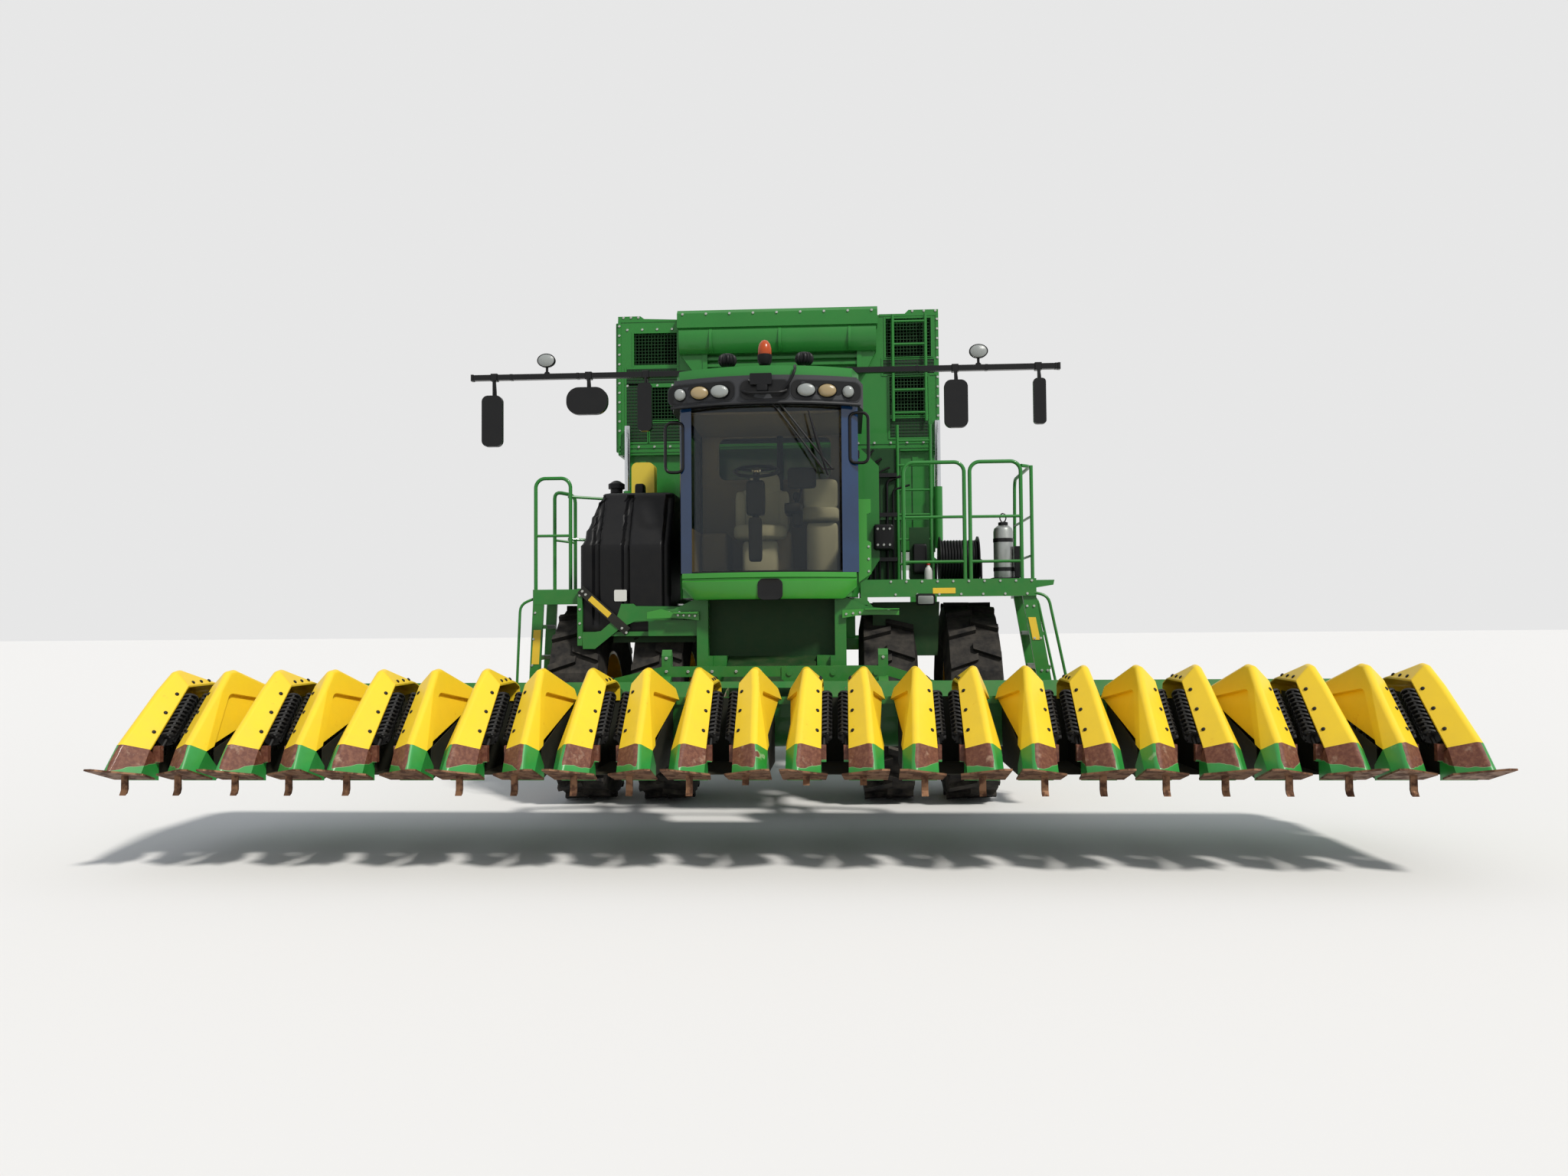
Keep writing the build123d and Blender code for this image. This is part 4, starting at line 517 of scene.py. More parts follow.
def rubbed_nose():
    """Noses rubbed by soil: rust brown on the crest and on the face towards the row's rolls, green enamel
    left on the other face and along the lower rim, and a pale primer line where the two meet. The bare
    share grows with height above the rim at 0.70 m and with how far a face looks towards its row's centre.
    The bare edge wanders over 190 mm, rust is mottled in 26 mm, soil has dried on in 90 mm, enamel fades
    over 330 mm, and pits are 14 mm, coarser than real ones so that they show."""
    tree, output, place = blank("rubbed_nose")
    axes = add(tree, "SeparateXYZ", {"Vector": place}).outputs
    above = add(tree, "MapRange", {"Value": axes["Z"], **span(0.70, 0.775, -0.20, 0.12)})
    in_row = add(tree, "Math", {0: axes["X"], 1: ROW_PITCH, 2: 0.0}, operation="WRAP")
    before = add(tree, "Math", {0: in_row, 1: ROW_PITCH / 2}, operation="LESS_THAN")
    sign = add(tree, "MapRange", {"Value": before, **span(0.0, 1.0, -1.0, 1.0)})
    inward = add(tree, "Math", {0: facing(tree, "X"), 1: sign}, operation="MULTIPLY")
    turned_away = add(tree, "MapRange", {"Value": inward, **span(-0.35, 0.05, -0.20, 0.06)})
    cloud = add(tree, "TexNoise", {"Vector": place, "Scale": 5.2, "Detail": 2.5, "Roughness": 0.45})
    spread = add(tree, "MapRange", {"Value": cloud, **span(0.0, 1.0, 0.28, 0.68)})
    share = add(tree, "Math", {0: spread, 1: above}, operation="ADD")
    share = add(tree, "Math", {0: share, 1: turned_away}, operation="ADD")
    bare = add(tree, "MapRange", {"Value": share, **span(0.492, 0.500)})
    near = add(tree, "MapRange", {"Value": share, **span(0.480, 0.490)})
    old = patches(tree, place, 38.0, 0.42, 0.7, 8.0)
    rust = add(tree, "Mix", {0: old, 6: linear("#5c2f1f"), 7: linear("#7d4f38")}, **COLOURS)
    dried = add(tree, "Math", {0: patches(tree, place, 11.0, 0.60, 0.72, 9.0), 1: 0.7}, **PRODUCT)
    rust = add(tree, "Mix", {0: dried, 6: rust, 7: linear("#a98b74")}, **COLOURS)
    faded = patches(tree, place, 3.0, 0.3, 0.7)
    green = add(tree, "Mix", {0: faded, 6: linear("#24802c"), 7: linear("#36984a")}, **COLOURS)
    colour = add(tree, "Mix", {0: near, 6: green, 7: linear("#7da873")}, **COLOURS)
    colour = add(tree, "Mix", {0: bare, 6: colour, 7: rust}, **COLOURS)
    pits = add(tree, "TexNoise", {"Vector": place, "Scale": 70.0, "Detail": 6.0})
    depth = add(tree, "Math", {0: bare, 1: pits}, **PRODUCT)
    rough = add(tree, "MapRange", {"Value": bare, **span(0.0, 1.0, 0.33, 0.62)})
    sockets = {"Base Color": colour, "Roughness": rough, "Coat Weight": 0.1}
    coated(tree, output, sockets, (depth, 0.35, 0.003))


def bronze_glass(name, tint, sheen):
    """Tinted safety glass: nearly clear, a faint warm tint, and a mirror sheen that grows with the cube
    of how far the surface turns away. Smears of dust are 330 mm wide."""
    tree, output, place = blank(name)
    smears = patches(tree, place, 3.0, 0.35, 0.8)
    rough = add(tree, "MapRange", {"Value": smears, **span(0.0, 1.0, 0.02, 0.12)})
    gloss = add(tree, "BsdfGlossy", {"Color": linear("#cfe0f4"), "Roughness": rough})
    through = add(tree, "BsdfTransparent", {"Color": linear(tint)})
    edge = add(tree, "LayerWeight", {"Blend": 0.5}).outputs["Facing"]
    steep = add(tree, "Math", {0: edge, 1: 3.0}, operation="POWER")
    share = add(tree, "MapRange", {"Value": steep, **span(0.0, 1.0, sheen, 0.75)})
    both = add(tree, "MixShader", {0: share, 1: through, 2: gloss})
    tree.links.new(both.outputs[0], output.inputs["Surface"])


def roof_skin():
    """The roof in two mouldings: dark grained visor plastic below, green enamel above the joint. The grain
    is 1.7 mm, coarser than the real one so that it shows."""
    tree, output, place = blank("cab_roof_skin")
    height = add(tree, "SeparateXYZ", {"Vector": place}).outputs["Z"]
    above = add(tree, "Math", {0: height, 1: ROOF_JOINT}, operation="GREATER_THAN")
    colour = add(tree, "Mix", {0: above, 6: linear("#26282c"), 7: linear("#23772c")}, **COLOURS)
    rough = add(tree, "MapRange", {"Value": above, **span(0.0, 1.0, 0.6, 0.35)})
    fine = add(tree, "TexNoise", {"Vector": place, "Scale": 600.0, "Detail": 2.0})
    coated(tree, output, {"Base Color": colour, "Roughness": rough}, (fine, 0.06, 0.003))


NODE_SKINS = {
    "divider_covers": "yellow_polyethylene",
    "divider_noses": "rubbed_nose",
    "skid_shoes": "rubbed_steel",
    "stripper_rolls": "roll_brush_rubber",
    "row_unit_frames": "screen_steel",
    "cross_auger": "green_enamel_auger",
    "engine_block": "shaded_steel",
    "feed_chute": "green_enamel_painted_shade",
    "cab_frame": "black_enamel",
    "cab_door": "black_enamel",
    "cab_roof": "cab_roof_skin",
    "cab_glass": "bronze_glass",
    "cab_door_glass": "bronze_glass",
    "cab_seats": "seat_cloth",
    "steering_console": "black_polyethylene",
    "work_lamps": "clear_lamp_glass",
    "beacon": "beacon_plastic",
    "mirror_bar": "black_enamel",
    "fuel_tank": "black_polyethylene",
    "additive_tank": "yellow_tank_plastic",
    "deck_equipment": "shaded_steel",
    "basket_rods": "hard_chrome",
}
for wheel_side in ("left", "right"):
    for wheel_part in ("front_tyres_", "rear_tyre_"):
        NODE_SKINS[wheel_part + wheel_side] = "dusty_tyre_rubber"
    for wheel_part in ("front_rims_", "rear_rim_"):
        NODE_SKINS[wheel_part + wheel_side] = "yellow_enamel"


class StudioSettings(bpy.types.PropertyGroup):
    camera_place: FloatVectorProperty(
        name="Camera place", description="Where the camera stands", size=3, subtype="TRANSLATION",
        default=(0.477, -11.484, 1.65),
    )
    focal_pixels: FloatProperty(
        name="Focal length", description="Focal length in pixels of a 2048-pixel-wide frame", default=1450.0
    )
    key_strength: FloatProperty(name="Key lamp", description="Strength of the sun lamp", default=3.0)
    sky_strength: FloatProperty(name="Sky", description="Strength of the even light", default=0.5)
    floor_colour: FloatVectorProperty(
        name="Floor", description="Colour of the floor", size=3, subtype="COLOR", default=(0.80, 0.79, 0.77)
    )


class HeaderSettings(bpy.types.PropertyGroup):
    rib_pitch: FloatProperty(
        name="Rib pitch", description="Distance between brush ribs along a roll", default=0.036, unit="LENGTH"
    )
    rib_radius: FloatProperty(
        name="Rib radius", description="Outer radius of the brush ribs", default=0.0610, unit="LENGTH"
    )
    bolt_radius: FloatProperty(
        name="Bolt radius", description="Radius of the cover bolts' heads", default=0.014, unit="LENGTH"
    )


class CabSettings(bpy.types.PropertyGroup):
    seat_x: FloatProperty(name="Seat", description="x of the operator's seat", default=-0.33, unit="LENGTH")
    wheel_radius: FloatProperty(
        name="Steering wheel", description="Radius of the steering wheel's rim", default=0.2, unit="LENGTH"
    )


class STRIPPER_OT_finishes(bpy.types.Operator):
    """Make the finishes and put them on the CAD nodes"""

    bl_idname = "stripper.finishes"
    bl_label = "Finishes"

    def execute(self, context):
        for name, values in SKINS.items():
            dusted(name, **values)
        bronze_glass("bronze_glass", "#ece8dc", 0.03)
        rubbed_nose()
        roof_skin()
        for name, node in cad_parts.items():
            node.data.materials.clear()
            node.data.materials.append(bpy.data.materials[NODE_SKINS.get(name, "green_enamel")])
        return {"FINISHED"}


class STRIPPER_OT_studio(bpy.types.Operator):
    """Make the floor, the lights and the camera"""

    bl_idname = "stripper.studio"
    bl_label = "Studio"

    def execute(self, context):
        settings = context.scene.stripper_studio
        corners = np.array([[-1, -1, 0], [1, -1, 0], [1, 1, 0], [-1, 1, 0]]) * FLOOR_SPREAD
        mesh = bpy.data.meshes.new("floor")
        mesh.from_pydata(corners.tolist(), [], [[0, 1, 2, 3]])
        floor = bpy.data.objects.new("floor", mesh)
        context.collection.objects.link(floor)
        tree, output, _ = blank("floor_paper")
        coated(tree, output, {"Base Color": (*settings.floor_colour, 1), "Roughness": 0.95})
        mesh.materials.append(bpy.data.materials["floor_paper"])
        world = bpy.data.worlds.new("studio")
        context.scene.world = world
        world.use_nodes = True
        light = world.node_tree
        light.nodes.clear()
        output = add(light, "OutputWorld")
        path = add(light, "LightPath").outputs
        mirrored = add(light, "Math", {0: path["Is Glossy Ray"], 1: path["Is Transmission Ray"]}, **SUM)
        ray = add(light, "Math", {0: path["Is Camera Ray"], 1: mirrored}, **SUM)
        sky = add(light, "Background", {"Color": (0.86, 0.91, 1.0, 1), "Strength": settings.sky_strength})
        seen = add(light, "Background", {"Color": (0.80, 0.80, 0.80, 1), "Strength": 1.0})
        both = add(light, "MixShader", {0: ray, 1: sky, 2: seen})
        light.links.new(both.outputs[0], output.inputs["Surface"])
        lamp = bpy.data.lights.new("key", "SUN")
        lamp.energy = settings.key_strength
        lamp.angle = 0.12
        lamp.color = (1.0, 0.97, 0.92)
        key = bpy.data.objects.new("key", lamp)
        key.rotation_euler = Vector((-0.45, 0.55, -0.75)).to_track_quat("-Z", "Y").to_euler()
        context.collection.objects.link(key)
        self.camera(context, settings)
        return {"FINISHED"}

    def camera(self, context, settings):
        """The camera's axes: forward turned by yaw and pitch, then right and up turned by the roll."""
        yaw, pitch, roll = np.radians((-3.294, 1.9, -0.457))
        level = np.array([np.sin(yaw), np.cos(yaw), 0])
        right = np.array([np.cos(yaw), -np.sin(yaw), 0])
        forward = level * np.cos(pitch) + np.array([0, 0, np.sin(pitch)])
        up = -level * np.sin(pitch) + np.array([0, 0, np.cos(pitch)])
        turned_right = right * np.cos(roll) + up * np.sin(roll)
        turned_up = up * np.cos(roll) - right * np.sin(roll)
        axes = np.stack([turned_right, turned_up, -forward], 1)
        data = bpy.data.cameras.new("camera")
        data.sensor_width = SENSOR_MM
        data.lens = settings.focal_pixels / FRAME_PIXELS * SENSOR_MM
        data.clip_end = 500
        camera = bpy.data.objects.new("camera", data)
        camera.matrix_world = Matrix.Translation(settings.camera_place) @ Matrix(axes.tolist()).to_4x4()
        context.collection.objects.link(camera)
        context.scene.camera = camera
        context.scene.view_settings.view_transform = "Standard"


class STRIPPER_OT_header_fittings(bpy.types.Operator):
    """Make the cover bolts and the brush ribs of the stripper rolls"""

    bl_idname = "stripper.header_fittings"
    bl_label = "Header fittings"

    # Hood corners on the +X side of a row: (from the row's middle, behind the tines, height)
    crest_low = (0.240, 0.0, 0.890)
    peak = (0.210, 0.560, 1.382)
    row_edge_low = (0.090, 0.120, 0.835)
    row_edge_bend = (0.090, 0.540, 1.245)
    row_edge_rear = (0.090, 0.920, 1.250)
    # Bolts as (from the row's middle, behind the tines)
    slope_bolts = ((0.118, 0.205), (0.118, 0.335), (0.118, 0.465))
    top_bolts = ((0.106, 0.640), (0.106, 0.740), (0.106, 0.840))

    def execute(self, context):
        settings = context.scene.stripper_header
        self.bolts(settings)
        self.ribs(settings)
        self.screens()
        self.frame_bolts()
        return {"FINISHED"}

    def both_sides(self, places, directions):
        """Places and directions of one side of a row repeated for both sides of every row."""
        places, directions = np.array(places), np.array(directions)
        flip = np.array([-1, 1, 1])
        places = np.concatenate([places, places * flip])
        directions = np.concatenate([directions, directions * flip])
        shift = np.stack([row_centres(), np.zeros(ROWS), np.zeros(ROWS)], 1)
        every_row = np.broadcast_to(directions[None], (ROWS, *directions.shape))
        return (places[None] + shift[:, None]).reshape(-1, 3), every_row.reshape(-1, 3)

    def bolts(self, settings):
        """Low domed heads on the covers, each square to its facet."""
        places, directions = [], []
        groups = (
            (self.slope_bolts, (self.crest_low, self.peak, self.row_edge_low)),
            (self.top_bolts, (self.peak, self.row_edge_bend, self.row_edge_rear)),
        )
        for table, corners in groups:
            for x, distance in table:
                height, normal = on_plane(corners, x, distance)
                places.append((x, behind(distance), height))
                directions.append(normal)
        r = settings.bolt_radius
        head = turned([(-0.002, r), (0.003, r), (0.007, r * 0.75), (0.009, r * 0.3)], 10)
        matrices = frames_at(*self.both_sides(places, directions))
        piece("cover_bolts", copies(head, matrices), "black_polyethylene", "header")

    def screens(self):
        """Thin bars across the slots of the inner sheets, which make them look perforated."""
        inner, outer = 0.169, 0.173
        bars = []
        for slot in range(6):
            y, z = behind(0.380 + 0.090 * slot), 0.760 + 0.030 * slot
            for middle in (z + 0.028 * k for k in range(1, 5)):
                bars.append(slab((inner, y - 0.002, middle - 0.004), (outer, y + 0.057, middle + 0.004)))
            bars.append(slab((inner, y + 0.024, z - 0.002), (outer, y + 0.031, z + 0.142)))
        points, faces = joined(bars)
        rows = [(points * (side, 1, 1) + (x, 0, 0), faces) for side in (1, -1) for x in row_centres()]
        piece("screen_bars", rows, "screen_steel", "header")

    def frame_bolts(self):
        """Zinc bolts on the centre bar, its hook bracket and the end posts."""
        lines = [
            ((-1.03, behind(1.928), 1.27), (-1.03, behind(1.928), 1.38), 2),
            ((0.76, behind(1.928), 1.27), (0.76, behind(1.928), 1.38), 2),
            ((-0.85, behind(1.928), 1.268), (-0.25, behind(1.928), 1.268), 4),
        ]
        piece("header_bolts", heads(lines, 0.014), "zinc_bolts", "header")

    def ribs(self, settings):
        """Lens-shaped discs set aslant along each roll's axis, one every rib pitch."""
        run = np.array([0, 0.420, 0.410])
        run /= np.linalg.norm(run)
        back = np.array([0, run[2], -run[1]])
        origin = np.array([0.076, behind(0.120), 0.835]) + back * 0.078
        along = np.arange(0.160, 0.536, settings.rib_pitch)
        places = origin + along[:, None] * run
        tilt = run + np.array([0.38, 0, 0])
        r = settings.rib_radius
        rib = turned([(-0.009, r * 0.6), (-0.008, r * 0.97), (0, r), (0.008, r * 0.97), (0.009, r * 0.6)], 20)
        matrices = frames_at(*self.both_sides(places, np.broadcast_to(tilt, places.shape)))
        piece("brush_ribs", copies(rib, matrices), "roll_brush_rubber", "header")


class STRIPPER_OT_cab_fittings(bpy.types.Operator):
    """Make the seats, the steering wheel, the monitor, the wipers, the handles and the roof's domes"""

    bl_idname = "stripper.cab_fittings"
    bl_label = "Cab fittings"

    def execute(self, context):
        settings = context.scene.stripper_cab
        self.seats(settings)
        self.controls(settings)
        self.outside()
        return {"FINISHED"}

    def seats(self, settings):
        """Cushions as rounded blocks: base, wings and crowned back of the operator's seat, and the low
        trainer's seat beside it."""
        x, y = settings.seat_x - 0.01, behind(3.15)
        blocks = [
            lump((0.50, 0.50, 0.15), 0.45, (x, y + 0.12, 2.52)),
            lump((0.48, 0.14, 0.42), 0.45, (x, y + 0.37, 2.76)),
            lump((0.30, 0.13, 0.30), 0.55, (x + 0.02, y + 0.37, 2.98)),
            lump((0.10, 0.20, 0.40), 0.5, (x - 0.21, y + 0.33, 2.74)),
            lump((0.10, 0.20, 0.40), 0.5, (x + 0.21, y + 0.33, 2.74)),
            lump((0.34, 0.36, 0.34), 0.3, (x, y + 0.15, 2.28)),
            lump((0.34, 0.11, 0.30), 0.35, (0.22, behind(3.62), 2.92)),
            lump((0.36, 0.40, 0.13), 0.35, (0.22, behind(3.42), 2.70)),
            lump((0.30, 0.32, 0.50), 0.2, (0.24, behind(3.44), 2.37)),
        ]
        cushions = piece("seat_cushions", blocks, "seat_cloth", smooth=60.0)
        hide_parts("cab_seats")

    def controls(self, settings):
        """Steering wheel as a ring on a column, a pedestal, an armrest console and a monitor."""
        seat = settings.seat_x
        centre = np.array([seat - 0.02, behind(2.90), 3.06])
        across, over = np.array([1.0, 0, 0]), np.array([0, 0.93, 0.36])

        def on_rim(angle):
            swept = np.multiply.outer(np.cos(angle), across) + np.multiply.outer(np.sin(angle), over)
            return centre + settings.wheel_radius * swept

        parts = [tube(on_rim(angles(32)), 0.016, 10, closed=True)]
        parts += [tube(np.array([centre, on_rim(angle)]), 0.011, 8) for angle in (0.5, 2.64, 4.71)]
        parts += [
            tube([(centre[0], behind(2.72), 2.28), (centre[0], behind(2.88), 3.04)], 0.030, 12),
            lump((0.17, 0.13, 0.32), 0.25, (centre[0], behind(2.80), 2.80)),
            lump((0.12, 0.10, 0.40), 0.25, (centre[0], behind(2.74), 2.42)),
            lump((0.16, 0.42, 0.10), 0.3, (seat + 0.31, behind(3.08), 2.72)),
            lump((0.26, 0.05, 0.19), 0.25, (seat + 0.40, behind(2.82), 2.98)),
            tube([(seat + 0.40, behind(2.83), 2.9), (seat + 0.33, behind(3.0), 2.7)], 0.014, 8),
        ]
        controls = piece("driving_controls", parts, "black_polyethylene")
        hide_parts("steering_console")
        hub = turned([(0, 0.045), (0.02, 0.045), (0.03, 0.03), (0.034, 0.01)], 20)
        piece("steering_hub", turned_to(hub, centre, (0, -0.36, 0.93)), "hard_chrome")

    def outside(self):
        """Wipers, grab handles, roof domes, the beacon and the cab's trim."""
        y = behind(2.275)
        arms = [
            tube([(-0.17, y, 3.58), (0.06, y - 0.02, 3.28), (0.28, y + 0.01, 2.98)], 0.009, 8),
            tube([(-0.11, y, 3.58), (0.12, y - 0.02, 3.28), (0.35, y + 0.015, 2.99)], 0.009, 8),
            tube([(0.27, y + 0.01, 2.985), (0.37, y + 0.012, 2.985)], 0.008, 6),
            tube([(0.15, y + 0.005, 3.50), (0.235, y - 0.005, 3.20), (0.315, y + 0.015, 2.93)],
                 (0.007, 0.016, 0.007), 8),
            lump((0.16, 0.05, 0.06), 0.4, (-0.14, y + 0.01, 3.59)),
        ]
        piece("wipers", arms, "black_polyethylene")
        self.handles()
        self.domes()
        self.beacon()
        self.bumper()
        self.corner_glass_painted_reflection()
        self.roof_details()

    def handles(self):
        """Grab handles: closed loops beside the cab's posts, each with two feet."""
        y = CAB_FRONT + 0.17
        grips = []
        for x0, x1, low, high in ((-1.120, -0.963, 3.00, 3.44), (0.507, 0.668, 3.06, 3.50)):
            loop = even(round_box(x1 - x0, high - low, 0.05), 56) + ((x0 + x1) / 2, (low + high) / 2)
            grips.append(tube(np.insert(loop, 1, y, axis=1), 0.014, 10, closed=True))
            post = x1 if x0 < 0 else x0
            for z in (low + 0.07, high - 0.07):
                grips.append(tube([(post, y, z), (post + 0.01 * np.sign(x0), y + 0.12, z)], 0.016, 8))
        piece("grab_handles", grips, "black_enamel")

    def domes(self):
        """Two flat ribbed balls on stalks: a turned profile whose radius is raised on every other rib."""
        y = behind(2.95)
        t = np.linspace(-1.35, 1.35, 13)
        points, faces = turned(np.stack([0.175 + 0.062 * np.sin(t), 0.082 * np.cos(t) ** 0.6], 1), 64)
        ridge = 1 + 0.06 * np.sign(np.cos(16 * np.arctan2(points[:, 1], points[:, 0])))
        points = points * np.stack([ridge, ridge, np.ones_like(ridge)], 1)
        foot = turned([(0, 0.035), (0.012, 0.035), (0.018, 0.02)], 12)
        domes, stalks = [], []
        for x in (-0.616, 0.096):
            domes.append(turned_to((points, faces), (x, y, 3.925)))
            stalks.append(tube([(x, y, 3.88), (x, y, 4.06)], 0.010, 8))
            stalks.append(turned_to(foot, (x, y, 3.885)))
        piece("roof_domes", domes, "black_polyethylene")
        piece("dome_stalks", stalks, "zinc_bolts")

    def beacon(self):
        """The beacon's foot and lens, both turned."""
        stand = [(0, 0.028), (0.15, 0.028), (0.155, 0.05), (0.19, 0.066), (0.245, 0.069), (0.25, 0.06)]
        foot = piece("beacon_foot", turned_to(turned(stand, 28), BEACON), "black_polyethylene")
        dome = [(0.24, 0.058), (0.25, 0.064), (0.30, 0.063), (0.345, 0.052), (0.375, 0.03), (0.385, 0.008)]
        beacon = piece("beacon_lens", turned_to(turned(dome, 28), BEACON), "beacon_plastic")
        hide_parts("beacon")

    def bumper(self):
        """The sill's cover, made lighter with painted light: a crease carried along the cab's bowed front,
        and the bare badge plate.
        """
        x = np.linspace(-0.745, 0.785, 61)
        bow = CAB_FRONT + CAB_BOW * (x / CAB_BOW_HALF) ** 2
        profile = [(1.872, 0.03), (1.874, -0.012), (1.90, -0.022), (2.032, -0.030), (2.042, -0.012),
                   (2.054, -0.010), (2.062, -0.026), (2.098, -0.024), (2.104, -0.016), (2.104, 0.03)]
        grid = np.zeros((len(x), len(profile), 3))
        for k, (z, out) in enumerate(profile):
            cut = 0.10 * np.clip((np.abs(x - 0.02) - 0.655) / 0.105, 0, 1) * (z < 1.95)
            grid[:, k] = np.stack([x + CAB_X, bow + out, z + cut], 1)
        piece("bumper_cover", shell(grid, False, True, caps=True), "green_enamel_painted_light", smooth=25.0)
        rings = [(0, 1), (0.012, 1), (0.018, 0.95), (0.016, 0.9), (0.016, 0.2)]
        badge = drawn(round_box(0.215, 0.185, 0.05), rings)
        piece("badge_plate", turned_to(badge, (-0.188, CAB_FRONT - 0.026, 1.955), FORWARD), "black_enamel")

    def corner_glass_painted_reflection(self):
        """The windscreen's edges carried round the corner posts, along the cab's bow, with a blue reflection
        painted on.
        """
        strips = []
        for low, high in ((-0.988, -0.885), (0.434, 0.578)):
            x = np.linspace(low, high, 9)
            y = CAB_FRONT - 0.006 + CAB_BOW * ((x - CAB_X) / CAB_BOW_HALF) ** 2
            ring = np.r_[np.c_[x, y], np.c_[x, y + 0.006][::-1]]
            grid = np.stack([np.c_[ring, np.full(len(ring), z)] for z in (2.106, 2.60, 3.10, 3.56)])
            strips.append(shell(grid, False, True, caps=True))
        piece("corner_glass_painted_reflection", strips, "corner_glass_painted_reflection")

    def roof_details(self):
        """The visor's dark pockets carried along its bow, and the bracket before the middle one."""
        pockets, rims = [], []
        for x, width in ((-0.785, 0.60), (-0.22, 0.43), (0.305, 0.60)):
            for store, grow, out in ((rims, 0.018, 0.002), (pockets, 0.0, 0.006)):
                shape = even(round_box(width + grow, 0.165 + grow, 0.06), 72)
                points, faces = drawn(shape, [(-0.02, 0.999), (0.0, 1.0), (0.002, 0.995)])
                points, faces = turned_to((points, faces), (x, 0.0, 3.672), FORWARD)
                points[:, 1] += self.visor_face(points[:, 0]) - out
                store.append((points, faces))
        piece("visor_pockets", pockets, "black_enamel")
        piece("visor_rims", rims, "grey_visor_plastic")
        y = CAB_FRONT - 0.065
        bracket = [
            panel(round_box(0.19, 0.10, 0.01) + (-0.25, 3.755), (y - 0.05, y - 0.03)),
            tube(bent([(-0.42, y - 0.02, 3.665), (-0.36, y - 0.06, 3.632), (-0.08, y - 0.06, 3.632),
                       (-0.03, y - 0.02, 3.66)], 0.03), 0.012, 8),
            tube(bent([(-0.06, y - 0.04, 3.66), (0.01, y - 0.06, 3.74), (0.045, y - 0.05, 3.83),
                       (0.04, y + 0.04, 3.88)], 0.05), 0.013, 8),
            lump((0.10, 0.06, 0.09), 0.4, (-0.24, y - 0.02, 3.69)),
            tube([(-0.24, y - 0.02, 3.70), (-0.36, y - 0.04, 3.745)], 0.012, 8),
        ]
        piece("visor_bracket", bracket, "black_polyethylene")
        lip = np.linspace(-0.83, 0.83, 41)
        edge = np.stack([lip + CAB_X, self.visor_face(lip + CAB_X) - 0.004, np.full(41, 3.562)], 1)
        piece("visor_lip", tube(edge, 0.014, 8), "grey_visor_plastic")

    def visor_face(self, x):
        """The y of the visor's front at x: bowed as the square of the distance from the cab's middle."""
        return CAB_FRONT - 0.06 + CAB_BOW * ((x - CAB_X) / VISOR_BOW_HALF) ** 2


class STRIPPER_OT_cab_inside(bpy.types.Operator):
    """Make the cab's pale lining, its floor mat and the armrest's controls"""

    bl_idname = "stripper.cab_inside"
    bl_label = "Cab inside"

    def execute(self, context):
        back = behind(3.90) - 0.05
        left, right = CAB_X + CAB_BOW_HALF, CAB_X - CAB_BOW_HALF
        x, z = -0.24, 3.31
        window = even(round_box(1.12, 0.42, 0.06), 64) + (x, z)
        across = np.interp(np.clip((window[:, 0] - x) * 10, -1, 1), [-1, 1], [right, left])
        up = np.interp(np.clip((window[:, 1] - z) * 20, -1, 1), [-1, 1], [3.05, 3.555])
        outer = np.stack([across, up], 1)
        steps = ((outer, back), (outer, back - 0.03), (window, back - 0.045), (window, back))
        rings = [np.insert(ring, 1, y, axis=1) for ring, y in steps]
        lining = [
            shell(np.stack(rings), True, True),
            block((right, back - 0.03, 2.11), (left, back, 3.06)),
            block((right, CAB_FRONT + 0.32, 3.535), (left, back, 3.555)),
            block((right, CAB_FRONT + 0.60, 2.11), (right + 0.03, back, 2.54)),
            lump((0.26, 0.46, 0.40), 0.2, (right + 0.17, back - 0.26, 2.34)),
            lump((0.26, 0.40, 0.42), 0.25, (CAB_X + 0.05, behind(3.40), 2.33)),
        ]
        piece("cab_lining", lining, "cab_lining")
        mat = [block((right + 0.02, CAB_FRONT + 0.24, 2.101), (left - 0.02, back - 0.03, 2.112))]
        post = [
            tube([(-0.186, back - 0.06, 2.60), (-0.186, back - 0.06, 3.53)], 0.032, 10),
            lump((0.10, 0.10, 0.18), 0.35, (0.02, behind(3.0), 2.64)),
            tube([(0.02, behind(3.0), 2.70), (0.01, behind(2.97), 2.80)], 0.018, 10),
            lump((0.06, 0.06, 0.08), 0.6, (0.01, behind(2.96), 2.83)),
        ]
        piece("cab_floor_mat", mat + post, "black_polyethylene")
        return {"FINISHED"}


